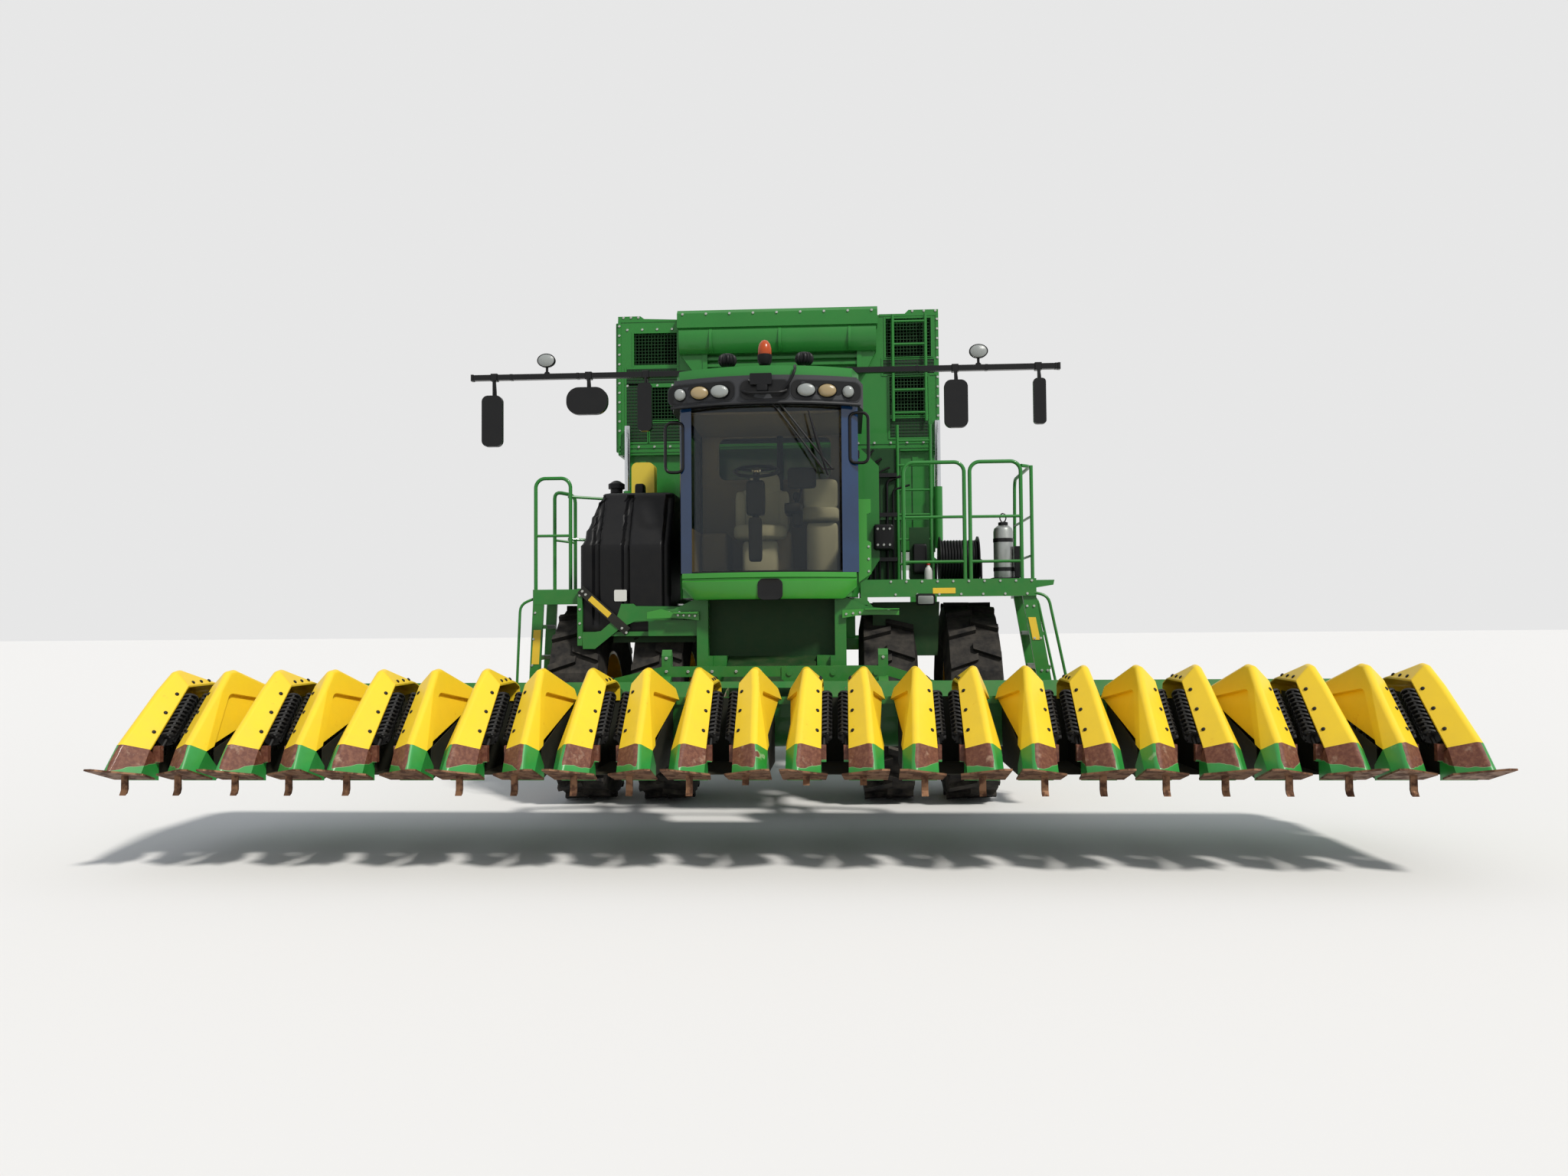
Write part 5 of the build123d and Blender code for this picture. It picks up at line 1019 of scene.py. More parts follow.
class STRIPPER_OT_lamps(bpy.types.Operator):
    """Make the work lamps: bowls and lenses in the visor and two lamps on the mirror bar"""

    bl_idname = "stripper.lamps"
    bl_label = "Lamps"

    def execute(self, context):
        bowls, clear, warm = [], [], []
        rim = [(-0.035, 1.02), (0.012, 1.02), (0.016, 0.99), (0.010, 0.94), (-0.01, 0.93)]
        dome = [(-0.012, 0.93), (0.010, 0.93), (0.022, 0.75), (0.028, 0.45), (0.030, 0.1)]
        sizes = ((0.735, 0.108, 0.112, clear), (0.555, 0.166, 0.120, warm), (0.375, 0.166, 0.120, clear))
        for side in (-1, 1):
            for offset, width, height, lenses in sizes:
                y = CAB_FRONT - 0.068 + CAB_BOW * (offset / VISOR_BOW_HALF) ** 2
                place = (CAB_X - 0.008 + side * offset, y - 0.012, 3.667)
                bowls.append(turned_to(drawn(oval(width, height), rim), place, FORWARD))
                lenses.append(turned_to(drawn(oval(width, height), dome), place, FORWARD))
        y, z = MIRROR_BAR
        shape = [(-0.07, 0.35), (-0.06, 0.7), (-0.02, 1.0), (0.012, 1.04), (0.018, 1.0), (0.014, 0.9)]
        glass = [(0.0, 0.9), (0.016, 0.9), (0.028, 0.6), (0.032, 0.1)]
        for x in (-2.27, 1.67):
            place = (x, y - 0.02, z + 0.145)
            bowls.append(turned_to(drawn(oval(0.164, 0.124), shape), place, FORWARD))
            clear.append(turned_to(drawn(oval(0.164, 0.124), glass), place, FORWARD))
            bowls.append(tube([(x, y, z + 0.02), (x, y, z + 0.09)], 0.012, 8))
            bowls.append(turned_to(turned([(0, 0.026), (0.012, 0.026), (0.02, 0.018)], 6), (x, y, z + 0.025)))
        shells = piece("lamp_bowls", bowls, "black_polyethylene")
        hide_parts("work_lamps")
        piece("lamp_lenses", clear, "clear_lamp_glass")
        piece("warm_lamp_lenses", warm, "amber_tinted_lens")
        return {"FINISHED"}


class STRIPPER_OT_mirror_fittings(bpy.types.Operator):
    """Make the mirrors' arms, glasses and clamps, and the bar's end fittings"""

    bl_idname = "stripper.mirror_fittings"
    bl_label = "Mirror fittings"

    # Centre x, lowest and highest z and width of each mirror
    mirrors = ((-2.76, 3.30, 3.77, 0.19), (-1.88, 3.58, 3.83, 0.38), (-1.35, 3.42, 3.86, 0.13),
               (1.46, 3.40, 3.83, 0.21), (2.20, 3.42, 3.83, 0.11))

    def execute(self, context):
        y, z = MIRROR_BAR
        arms, glasses = [], []

        def clamp(x, half_width, half):
            arms.append(block((x - half_width, y - half, z - half), (x + half_width, y + half, z + half)))

        for x, low, high, width in self.mirrors:
            middle = (low + high) / 2
            route = [(x, y - 0.01, z + 0.03), (x + 0.02, y - 0.02, high), (x + 0.01, y - 0.025, middle)]
            arms.append(tube(bent(route, 0.08), 0.010, 8))
            arms.append(panel(round_box(0.05, 0.09, 0.012) + (x, middle), (y - 0.035, y - 0.02)))
            clamp(x, 0.03, 0.034)
            rim = round_box(width - 0.02, high - low - 0.02, 0.25 * width)
            glasses.append(panel(rim + (x, middle), (y - 0.0345, y - 0.030)))
        for x in (-2.965, 2.385):
            clamp(x, 0.012, 0.03)
        for x in np.arange(-2.6, 2.4, 0.62):
            clamp(x, 0.012, 0.028)
        piece("mirror_arms", arms, "black_enamel")
        piece("mirror_glasses", glasses, "hard_chrome")
        return {"FINISHED"}


class STRIPPER_OT_basket_fittings(bpy.types.Operator):
    """Make the basket's mesh panels, bolts, rims and ribs"""

    bl_idname = "stripper.basket_fittings"
    bl_label = "Basket fittings"

    # Openings in the front wall and blind mesh panels beside them, as x and z ranges
    open_panels = (((-1.77, -1.31), (4.42, 4.76)), ((-1.60, -1.27), (3.83, 4.18)),
                   ((0.90, 1.37), (4.45, 4.855)), ((0.935, 1.335), (3.833, 4.238)))
    blind_panels = (((-1.85, -1.31), (4.22, 4.38)), ((-1.85, -1.63), (3.60, 4.20)),
                    ((-1.60, -1.27), (3.60, 3.80)), ((0.87, 1.40), (4.27, 4.42)),
                    ((0.935, 1.335), (3.60, 3.80)))

    def execute(self, context):
        front = BASKET_FRONT
        right, left = BASKET_X
        wires, rims, backs = [], [], []
        for x, z in self.open_panels:
            wires.append(perforated(x, z, front + 0.012, 0.034, 0.006))
        for (x0, x1), (z0, z1) in self.open_panels + self.blind_panels:
            for a, b, c, d in ((x0 - 0.02, x0, z0 - 0.02, z1 + 0.02), (x1, x1 + 0.02, z0 - 0.02, z1 + 0.02),
                               (x0, x1, z0 - 0.02, z0), (x0, x1, z1, z1 + 0.02)):
                rims.append(block((a, front - 0.008, c), (b, front + 0.002, d), 0.002))
        # Under the wires of each blind panel, a dark back sheet of painted shade stands for the basket's
        # shaded inside
        for x, z in self.blind_panels:
            backs.append(block((x[0], front - 0.002, z[0]), (x[1], front + 0.004, z[1]), 0.001))
            wires.append(perforated(x, z, front - 0.004, 0.034, 0.013))
        backs += self.side_meshes(wires, rims)
        piece("basket_wires", wires, "green_enamel_painted_shade", "basket_top")
        piece("basket_mesh_backs", backs, "mesh_painted_shade", "basket_top")
        high, low = 4.945, 4.88
        gussets = (
            [(right, low), (right, high), (-1.70, high), (-1.66, 4.915), (-1.30, 4.90), (-1.30, low)],
            [(0.83, low), (0.83, 4.905), (1.10, 4.905), (1.14, high), (left, high), (left, low)],
        )
        rims += [panel(gusset, (front - 0.006, front + 0.02)) for gusset in gussets]
        for x in (-1.925, 1.435):
            rims.append(block((x - 0.015, front - 0.008, 3.47), (x + 0.015, front + 0.004, 4.90)))
        for z in (3.50, 3.545):
            rims.append(block((-1.93, front - 0.008, z - 0.012), (1.44, front + 0.004, z + 0.012)))
        piece("basket_rims", rims, "green_enamel", "basket_top")
        lines = [((-1.22, front - 0.192, 4.90), (0.75, front - 0.192, 4.90), 9)]
        lines += [((x, front - 0.008, 3.72), (x, front - 0.008, 4.84), 12) for x in (-1.925, 1.435)]
        rows = (
            (-1.72, -1.05, 0.010, 3.545, 5), (0.60, 1.28, 0.010, 3.545, 5), (-1.88, -1.72, 0.006, 4.93, 3),
            (1.18, 1.42, 0.006, 4.93, 3), (-1.84, -1.36, 0.002, 4.80, 4), (-1.84, -1.36, 0.002, 4.20, 4),
        )
        lines += [((a, front - out, z), (b, front - out, z), count) for a, b, out, z, count in rows]
        piece("basket_bolts", heads(lines, 0.014), "zinc_bolts", "basket_top")
        self.lower_ribs()
        self.door_ribs()
        return {"FINISHED"}

    def side_meshes(self, wires, rims):
        """Mesh panels between upright ribs on the basket's right side and rear: a lattice worked out
        for a front wall, then turned a quarter or half about Z onto its own wall."""
        backs = []
        right, left = BASKET_X
        rear = BASKET_FRONT + BASKET_LENGTH
        walls = (
            (BASKET_LENGTH, lambda p: np.stack([right + p[:, 1], rear - p[:, 0], p[:, 2]], 1)),
            (left - right, lambda p: np.stack([left - p[:, 0], rear - p[:, 1], p[:, 2]], 1)),
        )
        for length, place in walls:
            edges = np.linspace(0.06, length - 0.06, 7)
            mesh, sheets = [], []
            for a, b in zip(edges[:-1], edges[1:]):
                for z in ((3.62, 4.18), (4.26, 4.82)):
                    mesh.append(perforated((a + 0.05, b - 0.05), z, -0.004, 0.05, 0.018))
                    # Dark back sheets of painted shade behind the side walls' mesh
                    sheets.append(block((a + 0.05, -0.002, z[0]), (b - 0.05, 0.004, z[1]), 0.001))
            bars = [block((a - 0.025, -0.03, 3.50), (a + 0.025, 0.004, 4.88)) for a in edges]
            for z in (3.56, 4.22, 4.86):
                bars.append(block((0.02, -0.022, z - 0.02), (length - 0.02, 0.004, z + 0.02)))
            for store, parts in ((wires, mesh), (backs, sheets), (rims, bars)):
                points, faces = joined(parts)
                store.append((place(points), faces))
        return backs

    def lower_ribs(self):
        """Channel ribs on the lower box, upright along its sides and a rail along its floor edge. They stand
        16 mm out, within the 25 mm that the sliding top keeps from the box."""
        left, right = -1.885, 1.395
        front, rear = BASKET_FRONT + 0.055, BASKET_FRONT + 4.045
        ribs = []
        out = 0.016
        for y in np.linspace(front + 0.25, rear - 0.25, 6):
            ribs.append(block((left - out, y - 0.03, 2.44), (left + 0.002, y + 0.03, 3.44), 0.002))
            ribs.append(block((right - 0.002, y - 0.03, 2.56), (right + out, y + 0.03, 3.44), 0.002))
        for x in np.linspace(left + 0.2, right - 0.2, 5):
            ribs.append(block((x - 0.03, rear - 0.002, 2.44), (x + 0.03, rear + out, 3.44), 0.002))
            ribs.append(block((x - 0.03, front - out, 2.44), (x + 0.03, front + 0.002, 3.40), 0.002))
        ribs.append(block((left, front - out, 2.42), (right, front + 0.002, 2.49), 0.002))
        ribs.append(block((left, rear - 0.002, 2.42), (right, rear + out, 2.49), 0.002))
        piece("basket_ribs", ribs, "green_enamel", "basket")

    def door_ribs(self):
        """Upright ribs and rails on the dump door, which hangs in the top's left wall, with mesh between."""
        front, rear = BASKET_FRONT + 0.22, BASKET_FRONT + 3.88
        low, high = 3.58, 4.81

        def on_door(parts):
            points, faces = joined(parts)
            return np.stack([BASKET_X[1] - points[:, 1], points[:, 0], points[:, 2]], 1), faces

        edges = np.linspace(front + 0.03, rear - 0.03, 7)
        ribs = [block((a - 0.025, -0.018, low + 0.01), (a + 0.025, 0.002, high - 0.13), 0.002) for a in edges]
        for z in (low + 0.03, (low + high) / 2 - 0.05, high - 0.15):
            ribs.append(block((front + 0.01, -0.014, z - 0.02), (rear - 0.01, 0.002, z + 0.02), 0.002))
        wires, backs = [], []
        for a, b in zip(edges[:-1], edges[1:]):
            for z in ((low + 0.08, low + 0.52), (low + 0.62, high - 0.19)):
                wires.append(perforated((a + 0.05, b - 0.05), z, -0.004, 0.05, 0.018))
                # Dark back sheets of painted shade behind the door's mesh
                backs.append(block((a + 0.05, -0.002, z[0]), (b - 0.05, 0.002, z[1]), 0.001))
        piece("dump_door_ribs", on_door(ribs), "green_enamel", "dump_door")
        piece("dump_door_wires", on_door(wires), "green_enamel_painted_shade", "dump_door")
        piece("dump_door_mesh", on_door(backs), "mesh_painted_shade", "dump_door")


class STRIPPER_OT_tank_fittings(bpy.types.Operator):
    """Make the fuel tank's ribbed moulding, its caps and the brace before it"""

    bl_idname = "stripper.tank_fittings"
    bl_label = "Tank fittings"

    def execute(self, context):
        self.moulding()
        self.brace()
        return {"FINISHED"}

    def moulding(self):
        """A closed shell of rings: each ring is a round-cornered square stretched between the tank's sides
        at that height, with upright grooves in its front and outer faces."""
        z = np.r_[1.602, 1.61, 1.66, 1.82, 1.912, 1.918, np.linspace(1.96, 2.38, 7), 2.40, 2.44, 2.52, 2.545,
                  2.60, 2.65, 2.675, 2.74, 2.80, 2.84, 2.87, 2.885, 2.892]
        rear = np.interp(z, [1.6, 1.66, 1.82, 1.912, 1.918, 2.9], [2.812, 2.822, 3.065, 3.365, 3.768, 3.768])
        front = np.interp(z, [1.6, 2.385, 2.892], [2.702, 2.702, 2.975])
        step = sum(0.036 * np.clip((z - level) / 0.03, 0, 1) for level in (2.385, 2.53, 2.66, 2.80))
        outer, inner = -1.948 + step, np.full_like(z, -1.122)
        levels = [1.6, 1.612, 1.64, 2.84, 2.87, 2.885, 2.892]
        shrink = np.interp(z, levels, [0.9, 0.97, 1, 1, 0.985, 0.95, 0.88])
        u, v = even(round_box(2, 2, 0.12), 360).T[:, None]
        fade = ((z > 1.67) * (z < 2.87))[:, None]
        x = (outer + inner)[:, None] / 2 + (inner - outer)[:, None] / 2 * u * shrink[:, None]
        y = (front + rear)[:, None] / 2 + (rear - front)[:, None] / 2 * v * shrink[:, None]
        front_groove = sum(0.045 * self.dip(x - place, 0.035) for place in (-1.795, -1.525)) * (v < -0.9)
        side_groove = sum(0.040 * self.dip(y - place, 0.04) for place in (2.98, 3.28, 3.55)) * (u < -0.9)
        step_back = 0.05 * np.clip((x + 1.20) / 0.02, 0, 1) * (v < -0.9)
        x_face = x + side_groove * fade
        y_face = behind(y) + (front_groove + step_back) * fade
        grid = np.stack([x_face, y_face, np.broadcast_to(z[:, None], x.shape)], -1)
        neck = [(0, 0.07), (0.03, 0.07), (0.035, 0.058), (0.07, 0.058), (0.075, 0.078), (0.12, 0.078),
                (0.13, 0.06), (0.15, 0.03), (0.155, 0.01)]
        parts = [
            shell(grid, False, True, caps=True),
            turned_to(turned(neck, 24), (-1.72, behind(3.25), 2.885)),
            lump((0.09, 0.14, 0.16), 0.35, (-1.50, behind(3.30), 2.93)),
        ]
        tank = piece("fuel_tank_moulding", parts, "black_polyethylene", smooth=40.0)
        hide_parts("fuel_tank")
        label = panel(round_box(0.115, 0.105, 0.012) + (-1.572, 1.925), (behind(2.692), behind(2.700)), 0.002)
        piece("blank_label", label, "white_plastic")

    def dip(self, distance, half):
        """How deep a groove is at a distance from its middle: 1 on its floor, 0 past its half width."""
        return np.clip((half - np.abs(distance)) / (0.4 * half), 0, 1)

    def brace(self):
        """The dark brace across the tank's foot with its yellow strip, and the box below with two windows."""
        y = behind(2.655)
        start, end = np.array([-1.93, 1.985]), np.array([-1.50, 1.60])
        along = (end - start) / np.linalg.norm(end - start)
        square = np.array([-along[1], along[0]])
        rim = 0.04 * square
        corners = [start - rim, end - rim, end + rim, start + rim]
        piece("tank_brace", panel(corners, (y, y + 0.014)), "shaded_steel")
        middle, reach, half = start + along * 0.24, along * 0.12, square * 0.026
        strip = [middle - reach - half, middle + reach - half, middle + reach + half, middle - reach + half]
        piece("brace_strip", panel(strip, (y - 0.003, y + 0.001), 0.001), "yellow_stripe")
        lines = [((end[0] - 0.05, y, end[1] + 0.03), (end[0] - 0.01, y, end[1] - 0.01), 2),
                 ((start[0] + 0.02, y, start[1] - 0.02), (start[0] + 0.05, y, start[1] - 0.05), 2)]
        piece("brace_bolts", heads(lines, 0.013), "zinc_bolts")
        box_y = behind(2.80)
        case = [
            block((-1.66, box_y, 1.50), (-0.90, box_y + 0.20, 1.555)),
            block((-1.66, box_y + 0.02, 1.555), (-0.90, box_y + 0.20, 1.70)),
        ]
        piece("under_tank_box", case, "green_enamel_painted_shade")
        panes = [panel(round_box(0.22, 0.095, 0.015) + (x, 1.63), (box_y + 0.012, box_y + 0.022), 0.002)
                 for x in (-1.43, -1.16)]
        piece("under_tank_windows", panes, "black_enamel")


class STRIPPER_OT_platform_fittings(bpy.types.Operator):
    """Make the platforms' bolts, strips, plates, lamp, gratings and rails, and what stands on the deck"""

    bl_idname = "stripper.platform_fittings"
    bl_label = "Platform fittings"

    def execute(self, context):
        front = behind(2.70)
        bolts = [
            ((0.86, front, 2.025), (2.10, front, 2.025), 10),
            ((0.90, front, 1.91), (2.06, front, 1.91), 7),
            ((-1.20, behind(2.55), 1.77), (-0.92, behind(2.55), 1.765), 4),
            ((0.55, behind(2.55), 1.765), (0.83, behind(2.55), 1.77), 4),
            ((2.06, front + 0.022, 1.80), (2.30, front + 0.022, 0.66), 5),
            ((2.12, front + 0.022, 1.80), (2.34, front + 0.022, 0.66), 5),
            ((-2.40, behind(3.0), 1.93), (-2.10, behind(3.0), 1.93), 4),
            ((-2.44, behind(3.0) + 0.003, 1.78), (-2.50, behind(3.0) + 0.003, 0.80), 5),
        ]
        piece("platform_bolts", heads(bolts, 0.012), "zinc_bolts")
        strips = [
            panel(round_box(0.20, 0.05, 0.004) + (1.33, 1.942), (front - 0.004, front + 0.001), 0.001),
            panel([(2.060, 1.50), (2.125, 1.50), (2.088, 1.70), (2.023, 1.70)] + np.array([0.045, 0.0]),
                  (front + 0.019, front + 0.026), 0.001),
            panel([(-2.475, 1.30), (-2.405, 1.30), (-2.385, 1.62), (-2.455, 1.62)],
                  (behind(3.0) + 0.001, behind(3.0) + 0.006), 0.001),
        ]
        piece("yellow_strips", strips, "yellow_stripe")
        self.plates(front)
        self.lamp(front)
        self.gratings()
        self.rails()
        self.reel()
        return {"FINISHED"}

    def plates(self, front):
        """Flat steel plates by their outlines: the tank's cradle arm, its upright, the deck's edge plates and
        gussets, and the cab's side box and the step brackets, both made lighter with painted light."""
        cradle = [(-1.918, 1.585), (-1.91, 1.446), (-1.80, 1.446), (-1.561, 1.636), (-1.425, 1.696),
                  (-0.996, 1.696), (-0.996, 1.822), (-1.425, 1.829), (-1.448, 1.850), (-1.560, 1.850),
                  (-1.600, 1.730), (-1.713, 1.610)]
        dark_y = behind(2.70)
        edge_plate = [(-2.390, 1.851), (-1.956, 1.851), (-1.956, 1.988), (-2.390, 1.988)]
        corner = [(2.095, 1.955), (2.095, 2.030), (2.300, 2.030), (2.290, 1.985)]
        greens = [
            panel(cradle, (dark_y - 0.034, dark_y - 0.022)),
            block((-1.960, dark_y - 0.030, 1.474), (-1.915, dark_y + 0.02, 1.992)),
            panel(edge_plate, (dark_y + 0.05, dark_y + 0.06)),
            panel([(0.595, 1.791), (0.711, 1.791), (0.595, 1.932)], (front + 0.02, front + 0.03)),
            panel(corner, (front + 0.004, front + 0.012)),
        ]
        piece("frame_plates", greens, "green_enamel")
        side_box = [(0.575, 2.02), (0.688, 2.097), (0.688, 2.379), (0.652, 2.395), (0.652, 2.631),
                    (0.688, 2.647), (0.688, 2.765), (0.575, 2.765)]
        y = behind(2.52)
        left_step = [(-1.30, 1.712), (-1.06, 1.720), (-0.835, 1.696), (-0.835, 1.777), (-1.064, 1.764),
                     (-1.169, 1.799), (-1.30, 1.770)]
        right_step = [(0.423, 1.705), (0.602, 1.734), (0.921, 1.729), (0.921, 1.768), (0.602, 1.784),
                      (0.423, 1.776)]
        # Painted light: the side box and the step brackets take the lighter copy of the green enamel
        bright = [
            panel(side_box, (y + 0.16, y + 0.20)),
            panel(left_step, (y - 0.012, y)),
            panel(right_step, (y - 0.012, y)),
            block((-1.06, y - 0.06, 1.756), (-0.84, y, 1.768)),
            block((0.62, y - 0.06, 1.776), (0.92, y, 1.786)),
        ]
        piece("step_brackets", bright, "green_enamel_painted_light")
        lines = [
            ((-1.02, y - 0.012, 1.742), (-0.87, y - 0.012, 1.736), 4),
            ((0.46, y - 0.012, 1.740), (0.58, y - 0.012, 1.752), 3),
            ((0.665, y + 0.16, 2.12), (0.665, y + 0.16, 2.34), 3),
            ((-1.937, dark_y - 0.03, 1.55), (-1.937, dark_y - 0.03, 1.93), 4),
        ]
        piece("bracket_bolts", heads(lines, 0.012), "zinc_bolts")
        # Dark green sheets of painted shade in the gaps below the decks and the cab and behind the ladder
        dark = [
            panel([(0.70, 1.36), (1.29, 1.36), (1.31, 1.85), (0.70, 1.85)], (behind(2.98), behind(2.99))),
            panel([(-0.83, 1.30), (0.40, 1.30), (0.40, 1.88), (-0.83, 1.88)], (behind(2.74), behind(2.75))),
            panel([(0.60, 2.02), (1.02, 2.02), (1.02, 3.42), (0.60, 3.42)], (behind(4.02), behind(4.04))),
            panel([(1.10, 2.02), (1.30, 2.02), (1.30, 2.62), (1.10, 2.62)], (behind(3.98), behind(4.02))),
        ]
        piece("painted_shade_panels", dark, "green_enamel_painted_shade")
        self.pipes()

    def pipes(self):
        """Rigid steel lines up the dark painted-shade panel behind the ladder, with their clamp bars and a
        valve block.
        """
        y = behind(3.99)
        lines = []
        for k, x in enumerate((0.70, 0.75, 0.80, 0.88, 0.94)):
            high = 3.36 - 0.09 * k
            route = [(x, y, 2.03), (x, y, high), (x + 0.05 + 0.03 * k, y, high + 0.05)]
            lines.append(tube(bent(route, 0.04), 0.011 + 0.003 * (k % 2), 8))
        for z in (2.30, 2.75, 3.15):
            lines.append(block((0.66, y - 0.025, z - 0.02), (0.98, y + 0.02, z + 0.02)))
        lines.append(lump((0.20, 0.14, 0.26), 0.2, (0.84, y - 0.03, 2.52)))
        lines.append(lump((0.14, 0.12, 0.30), 0.2, (1.20, y - 0.02, 2.30)))
        piece("steel_lines", lines, "black_enamel")
        ends = [((0.78, y - 0.10, z), (0.90, y - 0.10, z), 3) for z in (2.44, 2.60)]
        piece("valve_bolts", heads(ends, 0.014), "zinc_bolts")

    def lamp(self, front):
        """A rectangular lamp under the deck's edge: a case drawn from a rounded outline, and its lens."""
        place, outwards = (1.165, front - 0.01, 1.865), (0, -1, -0.25)
        case = drawn(round_box(0.17, 0.10, 0.02), [(-0.05, 0.75), (-0.03, 1.0), (0.012, 1.0), (0.014, 0.93)])
        piece("step_lamp_case", turned_to(case, place, outwards), "black_polyethylene")
        lens = drawn(round_box(0.140, 0.075, 0.014), [(0.006, 0.98), (0.018, 0.98), (0.022, 0.9)])
        pane = piece("step_lamp_lens", turned_to(lens, place, outwards), "clear_lamp_glass")

    def gratings(self):
        """Tread bars across both decks and the ladders' steps, and ribs along them."""
        bars = []
        for x in np.arange(0.62, 2.12, 0.05):
            bars.append(slab((x, behind(2.76), 2.0), (x + 0.008, behind(3.89), 2.008)))
        for x in np.arange(-2.44, -2.06, 0.05):
            bars.append(slab((x, behind(3.05), 1.99), (x + 0.008, behind(3.89), 1.998)))
        for i in range(4):
            z = 0.640 + 0.300 * i
            x = 2.250 + (0.640 - z) * 0.164
            for y in np.arange(behind(2.76), behind(3.24), 0.06):
                bars.append(slab((x - 0.018, y, z + 0.03), (x + 0.108, y + 0.012, z + 0.038)))
            z = 0.760 + 0.290 * i
            x = -2.505 + (z - 0.760) * 0.05
            for y in np.arange(behind(3.04), behind(3.48), 0.06):
                bars.append(slab((x + 0.002, y, z + 0.03), (x + 0.088, y + 0.012, z + 0.038)))
        piece("tread_bars", bars, "galvanised_steel")

    def rails(self):
        """The rails behind the decks' front loops: rear posts, side rails and the ladder's handrails."""
        x = 2.115
        top = [(x - 0.09, behind(2.725), 3.05), (x, behind(2.80), 3.05), (x, behind(3.72), 3.05),
               (x, behind(3.80), 2.0)]
        tubes = [tube(bent(top, 0.10), 0.016, 10)]
        for z in (2.60, 2.25):
            tubes.append(tube([(x, behind(2.75), z), (x, behind(3.77), z)], 0.012, 8))
        tubes.append(tube([(x, behind(2.74), 2.0), (x, behind(2.74), 3.05)], 0.016, 10))
        for y in (behind(2.72), behind(3.30)):
            route = [(2.07, y, 1.93), (2.24, y - 0.03, 1.89), (2.47, y - 0.03, 0.75), (2.38, y, 0.62)]
            tubes.append(tube(bent(route, 0.07), 0.013, 8))
        y = behind(3.55)
        inner = [(-2.40, y, 1.99), (-2.40, y, 2.98), (-2.22, y + 0.10, 2.95), (-2.22, y + 0.10, 1.99)]
        tubes.append(tube(bent(inner, 0.07), 0.018, 10))
        tubes.append(tube([(-2.40, y, 2.50), (-2.22, y + 0.10, 2.48)], 0.012, 8))
        for z in (2.87, 2.47):
            tubes.append(tube([(-2.14, behind(3.05), z), (-1.82, behind(3.20), z - 0.01)], 0.014, 8))
        route = [(-2.42, behind(3.05), 1.93), (-2.58, behind(3.0), 1.86), (-2.62, behind(3.0), 0.92),
                 (-2.47, behind(3.05), 0.80)]
        tubes.append(tube(bent(route, 0.07), 0.013, 8))
        piece("side_rails", tubes, "green_enamel")

    def reel(self):
        """The hose reel as turned rims, spokes and rounds of hose, and the water cylinder with its straps."""
        centre = (1.56, behind(3.72), 2.27)
        across = (1, 0, 0)
        parts = []
        for x in (-0.190, 0.178):
            rim = turned([(x, 0.20), (x, 0.23), (x + 0.012, 0.23), (x + 0.012, 0.20)], 40)
            parts.append(turned_to(rim, centre, across))
            for angle in angles(6):
                tip = np.array([x + 0.006, 0.21 * np.cos(angle), 0.21 * np.sin(angle)]) + centre
                parts.append(tube([np.array(centre) + (x + 0.006, 0, 0), tip], 0.009, 6))
        parts.append(turned_to(turned([(-0.205, 0.035), (0.205, 0.035)], 16), centre, across))
        t = angles(36)
        for radius in (0.125, 0.155, 0.182):
            for x in np.linspace(-0.160, 0.160, 12):
                ring = np.stack([np.full_like(t, x), radius * np.cos(t), radius * np.sin(t)], 1) + centre
                parts.append(tube(ring, 0.0145, 8, closed=True))
        middle, y, top = centre
        parts.append(block((1.50, y - 0.02, DECK_TOP), (1.62, y + 0.02, 2.16)))
        for x in (1.34, 1.78):
            leg = [(x, y, DECK_TOP), (x, y, top), (middle + (x - middle) * 0.7, y, 2.29)]
            parts.append(tube(leg, 0.012, 8))
        reel = piece("hose_reel", parts, "black_polyethylene")
        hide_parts("deck_equipment")
        foot = (1.925, behind(3.20), DECK_TOP)
        body = [(0, 0.086), (0.01, 0.09), (0.50, 0.09), (0.53, 0.082), (0.555, 0.05), (0.56, 0.02)]
        straps = [(0.13, 0.094), (0.165, 0.094)], [(0.40, 0.094), (0.435, 0.094)]
        piece("water_cylinder", turned_to(turned(body, 36), foot), "galvanised_steel")
        bands = [turned_to(turned([(a[0], 0.088), a, b, (b[0], 0.088)], 36), foot) for a, b in straps]
        collar = turned([(0.54, 0.03), (0.545, 0.045), (0.585, 0.045), (0.59, 0.03)], 20)
        bands.append(turned_to(collar, foot))
        bands.append(block((1.815, behind(3.11), DECK_TOP), (2.06, behind(3.30), 2.07)))
        bands.append(block((2.020, behind(3.12), 2.07), (2.065, behind(3.28), 2.36)))
        t = angles(20)
        ring = np.stack([1.925 + 0.028 * np.cos(t), np.full(20, foot[1]), 2.63 + 0.040 * np.sin(t)], 1)
        bands.append(tube(ring, 0.006, 8, closed=True))
        piece("cylinder_straps", bands, "black_enamel")
        bottle = [(0, 0.034), (0.01, 0.038), (0.15, 0.038), (0.18, 0.03), (0.20, 0.016), (0.215, 0.016)]
        place = (1.25, behind(3.50), DECK_TOP)
        piece("bottle", turned_to(turned(bottle, 20), place), "white_plastic")
        piece("bottle_cap", turned_to(turned([(0.21, 0.019), (0.235, 0.019), (0.24, 0.014)], 16), place),
              "red_plastic")


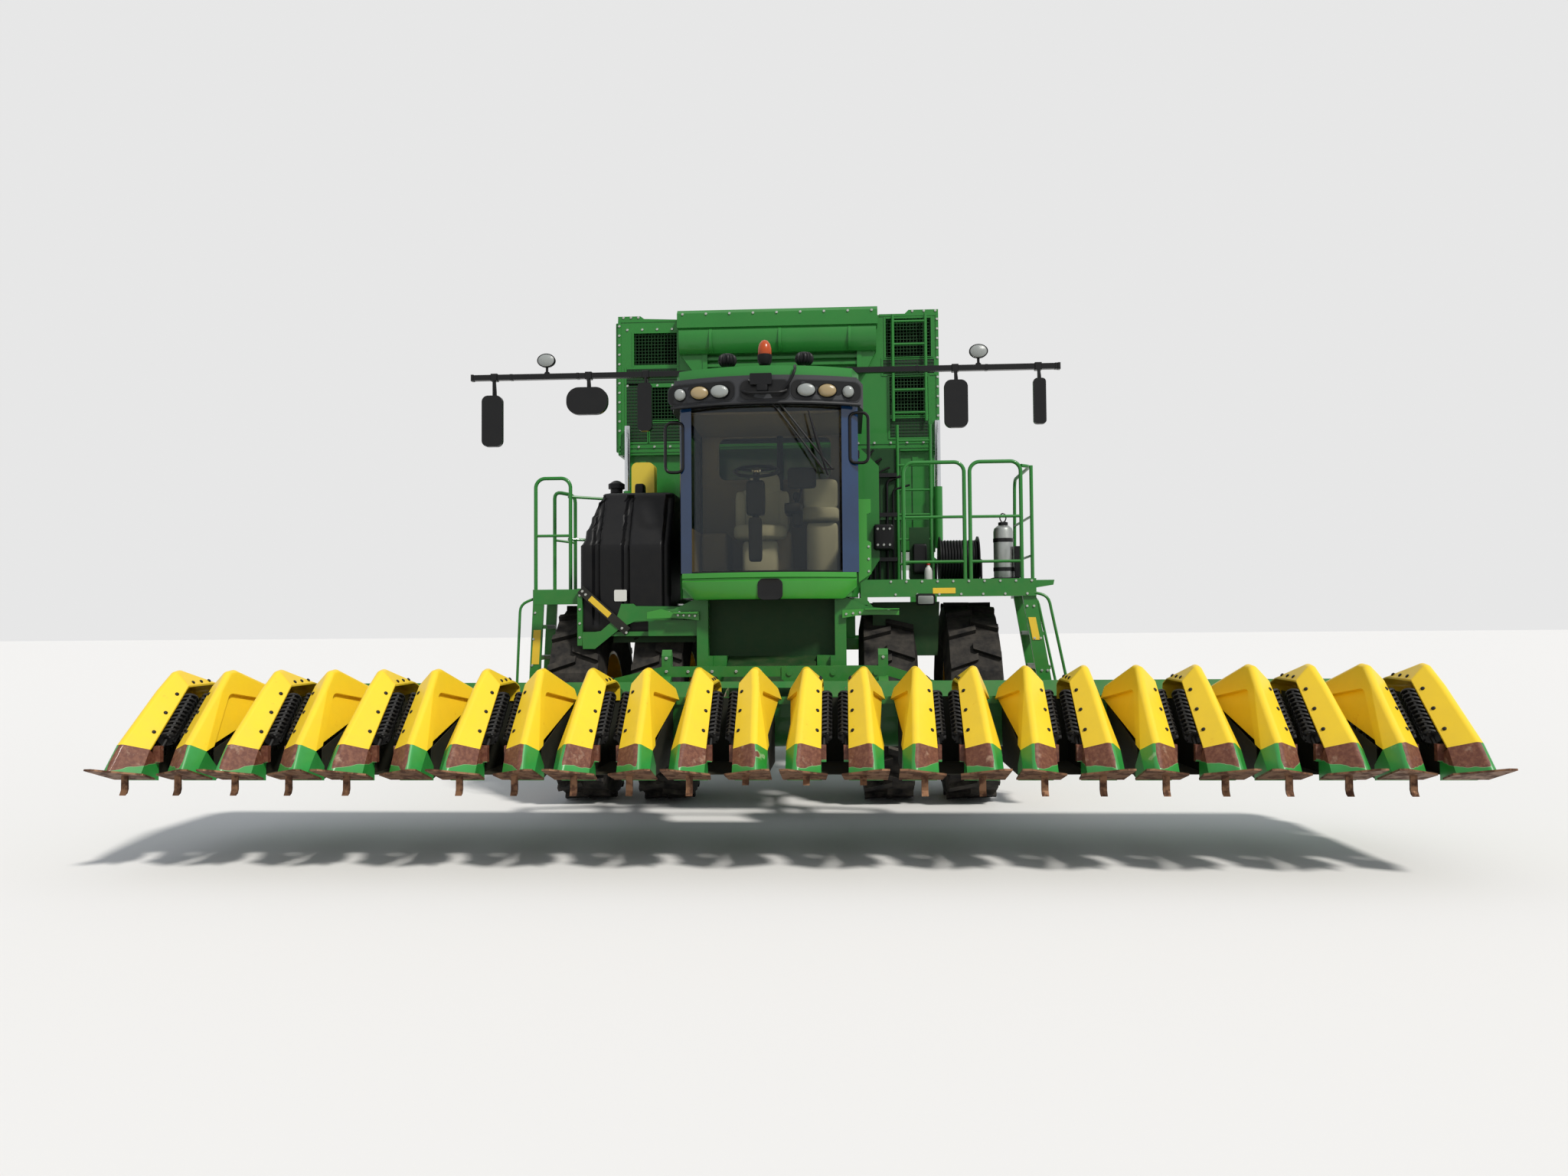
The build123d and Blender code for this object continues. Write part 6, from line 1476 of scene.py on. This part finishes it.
class STRIPPER_OT_wheel_fittings(bpy.types.Operator):
    """Make the wheels' bolts and hub caps"""

    bl_idname = "stripper.wheel_fittings"
    bl_label = "Wheel fittings"

    def execute(self, context):
        front_y, rear_y = behind(FRONT_AXLE[0]), behind(REAR_AXLE[0])
        front_z, rear_z = FRONT_AXLE[1], REAR_AXLE[1]
        for side, name in ((1, "left"), (-1, "right")):
            outer = MACHINE_X + side * (INNER_TYRE + ROW_PITCH)
            nuts = [self.ring(outer - 0.006 + side * 0.007, front_y, front_z, radius, count, side)
                    for radius, count in ((0.22, 10), (0.40, 8))]
            cap = turned([(0.0, 0.13), (0.02, 0.13), (0.035, 0.11), (0.05, 0.06), (0.055, 0.02)], 24)
            nuts.append(turned_to(cap, (outer + side * 0.115, front_y, front_z), (side, 0, 0)))
            piece(f"front_wheel_bolts_{name}", nuts, "zinc_bolts", f"front_wheels_{name}")
            rear = MACHINE_X + side * REAR_TYRE
            nuts = [self.ring(rear + side * 0.027, rear_y, rear_z, 0.15, 8, side)]
            cap = turned([(0.0, 0.06), (0.015, 0.06), (0.03, 0.045), (0.035, 0.01)], 20)
            nuts.append(turned_to(cap, (rear + side * 0.068, rear_y, rear_z), (side, 0, 0)))
            piece(f"rear_wheel_bolts_{name}", nuts, "zinc_bolts", f"rear_wheel_{name}")
        return {"FINISHED"}

    def ring(self, x, y, z, radius, count, side):
        """Nuts evenly round a circle in a wheel's disc: centre + r (0, cos t, sin t)."""
        t = angles(count)
        places = np.stack([np.full(count, x), y + radius * np.cos(t), z + radius * np.sin(t)], 1)
        nut = turned([(-0.002, 0.017), (0.018, 0.017), (0.022, 0.013), (0.022, 0.004)], 6)
        return copies(nut, frames_at(places, np.broadcast_to(np.array([side, 0.0, 0.0]), places.shape)))


class STRIPPER_PT_panel(bpy.types.Panel):
    """The machine's settings and its operators"""

    bl_idname = "STRIPPER_PT_panel"
    bl_label = "Cotton Stripper"
    bl_space_type = "VIEW_3D"
    bl_region_type = "UI"
    bl_category = "Cotton Stripper"

    def draw(self, context):
        for group in ("stripper_studio", "stripper_header", "stripper_cab"):
            settings = getattr(context.scene, group)
            box = self.layout.box()
            for name in settings.__annotations__:
                box.prop(settings, name)
        for operator in OPERATORS:
            self.layout.operator(operator.bl_idname)


OPERATORS = (
    STRIPPER_OT_finishes,
    STRIPPER_OT_header_fittings,
    STRIPPER_OT_cab_fittings,
    STRIPPER_OT_cab_inside,
    STRIPPER_OT_lamps,
    STRIPPER_OT_mirror_fittings,
    STRIPPER_OT_basket_fittings,
    STRIPPER_OT_tank_fittings,
    STRIPPER_OT_platform_fittings,
    STRIPPER_OT_wheel_fittings,
    STRIPPER_OT_studio,
)
GROUPS = {
    "stripper_studio": StudioSettings,
    "stripper_header": HeaderSettings,
    "stripper_cab": CabSettings,
}


def register():
    for name, group in GROUPS.items():
        bpy.utils.register_class(group)
        setattr(bpy.types.Scene, name, PointerProperty(type=group))
    for operator in OPERATORS:
        bpy.utils.register_class(operator)
    bpy.utils.register_class(STRIPPER_PT_panel)


def unregister():
    bpy.utils.unregister_class(STRIPPER_PT_panel)
    for operator in reversed(OPERATORS):
        bpy.utils.unregister_class(operator)
    for name, group in GROUPS.items():
        delattr(bpy.types.Scene, name)
        bpy.utils.unregister_class(group)


def main():
    register()
    bpy.ops.stripper.finishes()
    bpy.ops.stripper.header_fittings()
    bpy.ops.stripper.cab_fittings()
    bpy.ops.stripper.cab_inside()
    bpy.ops.stripper.lamps()
    bpy.ops.stripper.mirror_fittings()
    bpy.ops.stripper.basket_fittings()
    bpy.ops.stripper.tank_fittings()
    bpy.ops.stripper.platform_fittings()
    bpy.ops.stripper.wheel_fittings()
    bpy.ops.stripper.studio()


if __name__ == "__main__":
    main()
